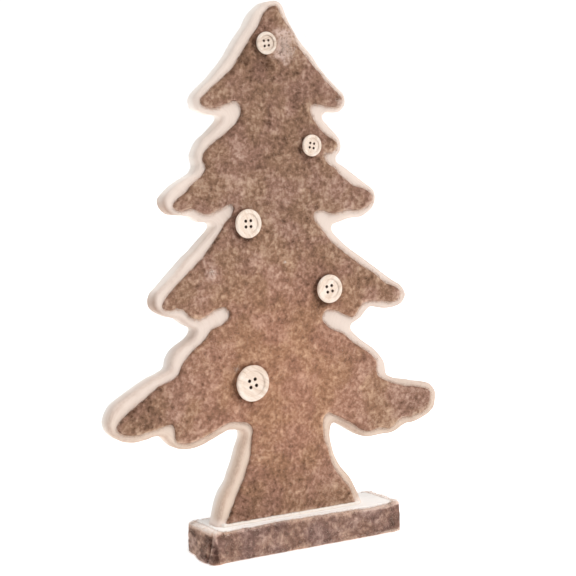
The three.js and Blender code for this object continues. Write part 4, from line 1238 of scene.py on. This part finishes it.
def make_screw(name, node, x, turn):
    """Countersunk wood screw: cross recess, plain neck, thread with a point."""
    n, length, sunk = 40, 38.0, 0.5
    z = np.concatenate([[0.0, 0.0, 0.12, 0.4], np.linspace(0.7, 2.9, 5), [3.4], np.arange(4.0, 33.0, 0.16), np.arange(33.0, 37.9, 0.16)])
    a = np.linspace(0, 2 * np.pi, n, endpoint=False)
    pitch = 2.0
    rings = []
    for i, h in enumerate(z):
        if i == 0:
            r = np.full(n, 3.8)
        elif h <= 3.0:
            r = np.full(n, np.interp(h, [0, 0.12, 0.4, 2.6, 3.0], [3.8, 3.98, 4.0, 2.1, 1.75]))
        else:
            core = np.interp(h, [3.0, 30, 37.9], [1.7, 1.55, 0.12])
            crest = np.interp(h, [3.0, 4.5, 6.0, 31, 37.9], [0, 0, 0.58, 0.6, 0.25])
            phase = ((h / pitch - a / (2 * np.pi)) % 1.0)
            saw = np.clip(1 - np.abs(phase - 0.5) / 0.22, 0, 1) ** 1.3
            r = core + crest * saw
        rings.append(np.column_stack([r * np.cos(a), r * np.sin(a), np.full(n, h)]))
    rings = np.array(rings)
    m = len(rings)
    verts = rings.reshape(-1, 3)
    i, j = np.meshgrid(np.arange(m - 1), np.arange(n), indexing="ij")
    p = i * n + j
    q = i * n + (j + 1) % n
    quads = np.stack([p, q, q + n, p + n], -1).reshape(-1, 4)[n:]
    # the head's face, with its cross recess
    def cross(p):
        c, s = math.cos(turn), math.sin(turn)
        u, w = p[:, 0] * c + p[:, 1] * s, -p[:, 0] * s + p[:, 1] * c
        arm = np.maximum(np.clip((0.62 - np.abs(w)) / 0.14, 0, 1) * np.clip((2.35 - np.abs(u)) / 0.3, 0, 1),
                         np.clip((0.62 - np.abs(u)) / 0.14, 0, 1) * np.clip((2.35 - np.abs(w)) / 0.3, 0, 1))
        return arm * np.interp(np.hypot(u, w), [0, 2.35], [2.3, 0.9])
    head = rings[1][:, :2]
    seeds = scattered(np.array([-3.8, -3.8]), np.array([3.8, 3.8]), 0.17, np.random.default_rng(5), 0.05)
    seeds = seeds[np.hypot(seeds[:, 0], seeds[:, 1]) < 3.6]
    v, f, where = triangles(np.vstack([head, seeds]), [np.arange(n)])
    hv = np.column_stack([v, cross(v)])
    base = len(verts)
    hf = f[:, ::-1] + base
    lut = np.arange(base + len(hv))
    for k in range(n):
        lut[base + where[k]] = n + k
    tip = len(verts) + len(hv)
    verts = np.vstack([verts, hv, [[0, 0, 38.0]]])
    last = (m - 1) * n + np.arange(n)
    cap = np.column_stack([last, np.roll(last, -1), np.full(n, tip)])
    faces = [quads, lut[hf], cap]
    verts = verts + np.array([x, -1.5, sunk])
    used, inv = np.unique(np.concatenate([g.ravel() for g in faces]), return_inverse=True)
    cut = np.cumsum([g.size for g in faces])[:-1]
    faces = [g.reshape(-1, w) for g, w in zip(np.split(inv.ravel(), cut), (4, 3, 3))]
    ob = mesh_object(name, verts[used] * MM, faces)
    ob.data.set_sharp_from_angle(angle=math.radians(50))
    ob.data.materials.append(zinc)
    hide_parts(node)
    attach(ob, "root")
    return ob


make_screw("base_screw_left_zinc", "base_screw_left", -24.0, 0.3)
make_screw("base_screw_right_zinc", "base_screw_right", 30.0, 0.9)

# ---- stage -------------------------------------------------------------------------------------


def make_stage():
    s = Shade("pale_floor")
    s.finish(lin(250, 250, 250), 0.9, Specular_IOR_Level=0.1, Emission_Color=(1, 1, 1, 1), Emission_Strength=0.46)
    me = bpy.data.meshes.new("floor")
    e = 9.0
    me.from_pydata([(-e, -e, 0), (e, -e, 0), (e, e, 0), (-e, e, 0)], [], [(0, 1, 2, 3)])
    floor = bpy.data.objects.new("floor", me)
    me.materials.append(s.m)
    bpy.context.scene.collection.objects.link(floor)

    world = bpy.data.worlds.new("studio")
    bpy.context.scene.world = world
    world.use_nodes = True
    t = world.node_tree
    t.nodes.clear()
    out = t.nodes.new("ShaderNodeOutputWorld")
    room, wall, pick, path, way, side, dim = (t.nodes.new(k) for k in (
        "ShaderNodeBackground", "ShaderNodeBackground", "ShaderNodeMixShader", "ShaderNodeLightPath",
        "ShaderNodeTexCoord", "ShaderNodeVectorMath", "ShaderNodeMapRange"))
    # the room is bright all round but for its left side, which has no lamp
    side.operation = "DOT_PRODUCT"
    side.inputs[1].default_value = (-0.86, -0.5, -0.05)
    dim.interpolation_type = "SMOOTHSTEP"
    for i, x in enumerate((0.15, 0.9, 0.36, 0.17), 1):
        dim.inputs[i].default_value = x
    t.links.new(way.outputs["Generated"], side.inputs[0])
    t.links.new(side.outputs["Value"], dim.inputs[0])
    t.links.new(dim.outputs[0], room.inputs[1])
    room.inputs[0].default_value = (1, 0.99, 0.98, 1)
    wall.inputs[0].default_value, wall.inputs[1].default_value = (1, 1, 1, 1), 1.1
    t.links.new(path.outputs["Is Camera Ray"], pick.inputs[0])
    t.links.new(room.outputs[0], pick.inputs[1])
    t.links.new(wall.outputs[0], pick.inputs[2])
    t.links.new(pick.outputs[0], out.inputs[0])

    def sun(name, way, angle, strength, colour=(1, 1, 1)):
        data = bpy.data.lights.new(name, "SUN")
        data.angle, data.energy, data.color = math.radians(angle), strength, colour
        ob = bpy.data.objects.new(name, data)
        ob.rotation_euler = (-Vector(way)).to_track_quat("-Z", "Y").to_euler()
        bpy.context.scene.collection.objects.link(ob)

    sun("key", (0.62, -0.85, 0.62), 10, 1.03, (1, 0.985, 0.965))
    sun("top", (0.05, -0.4, 1.0), 45, 1.2)
    sun("back", (-0.45, 0.35, 1.0), 55, 0.7)


make_stage()
bpy.context.scene.view_settings.view_transform = "Standard"
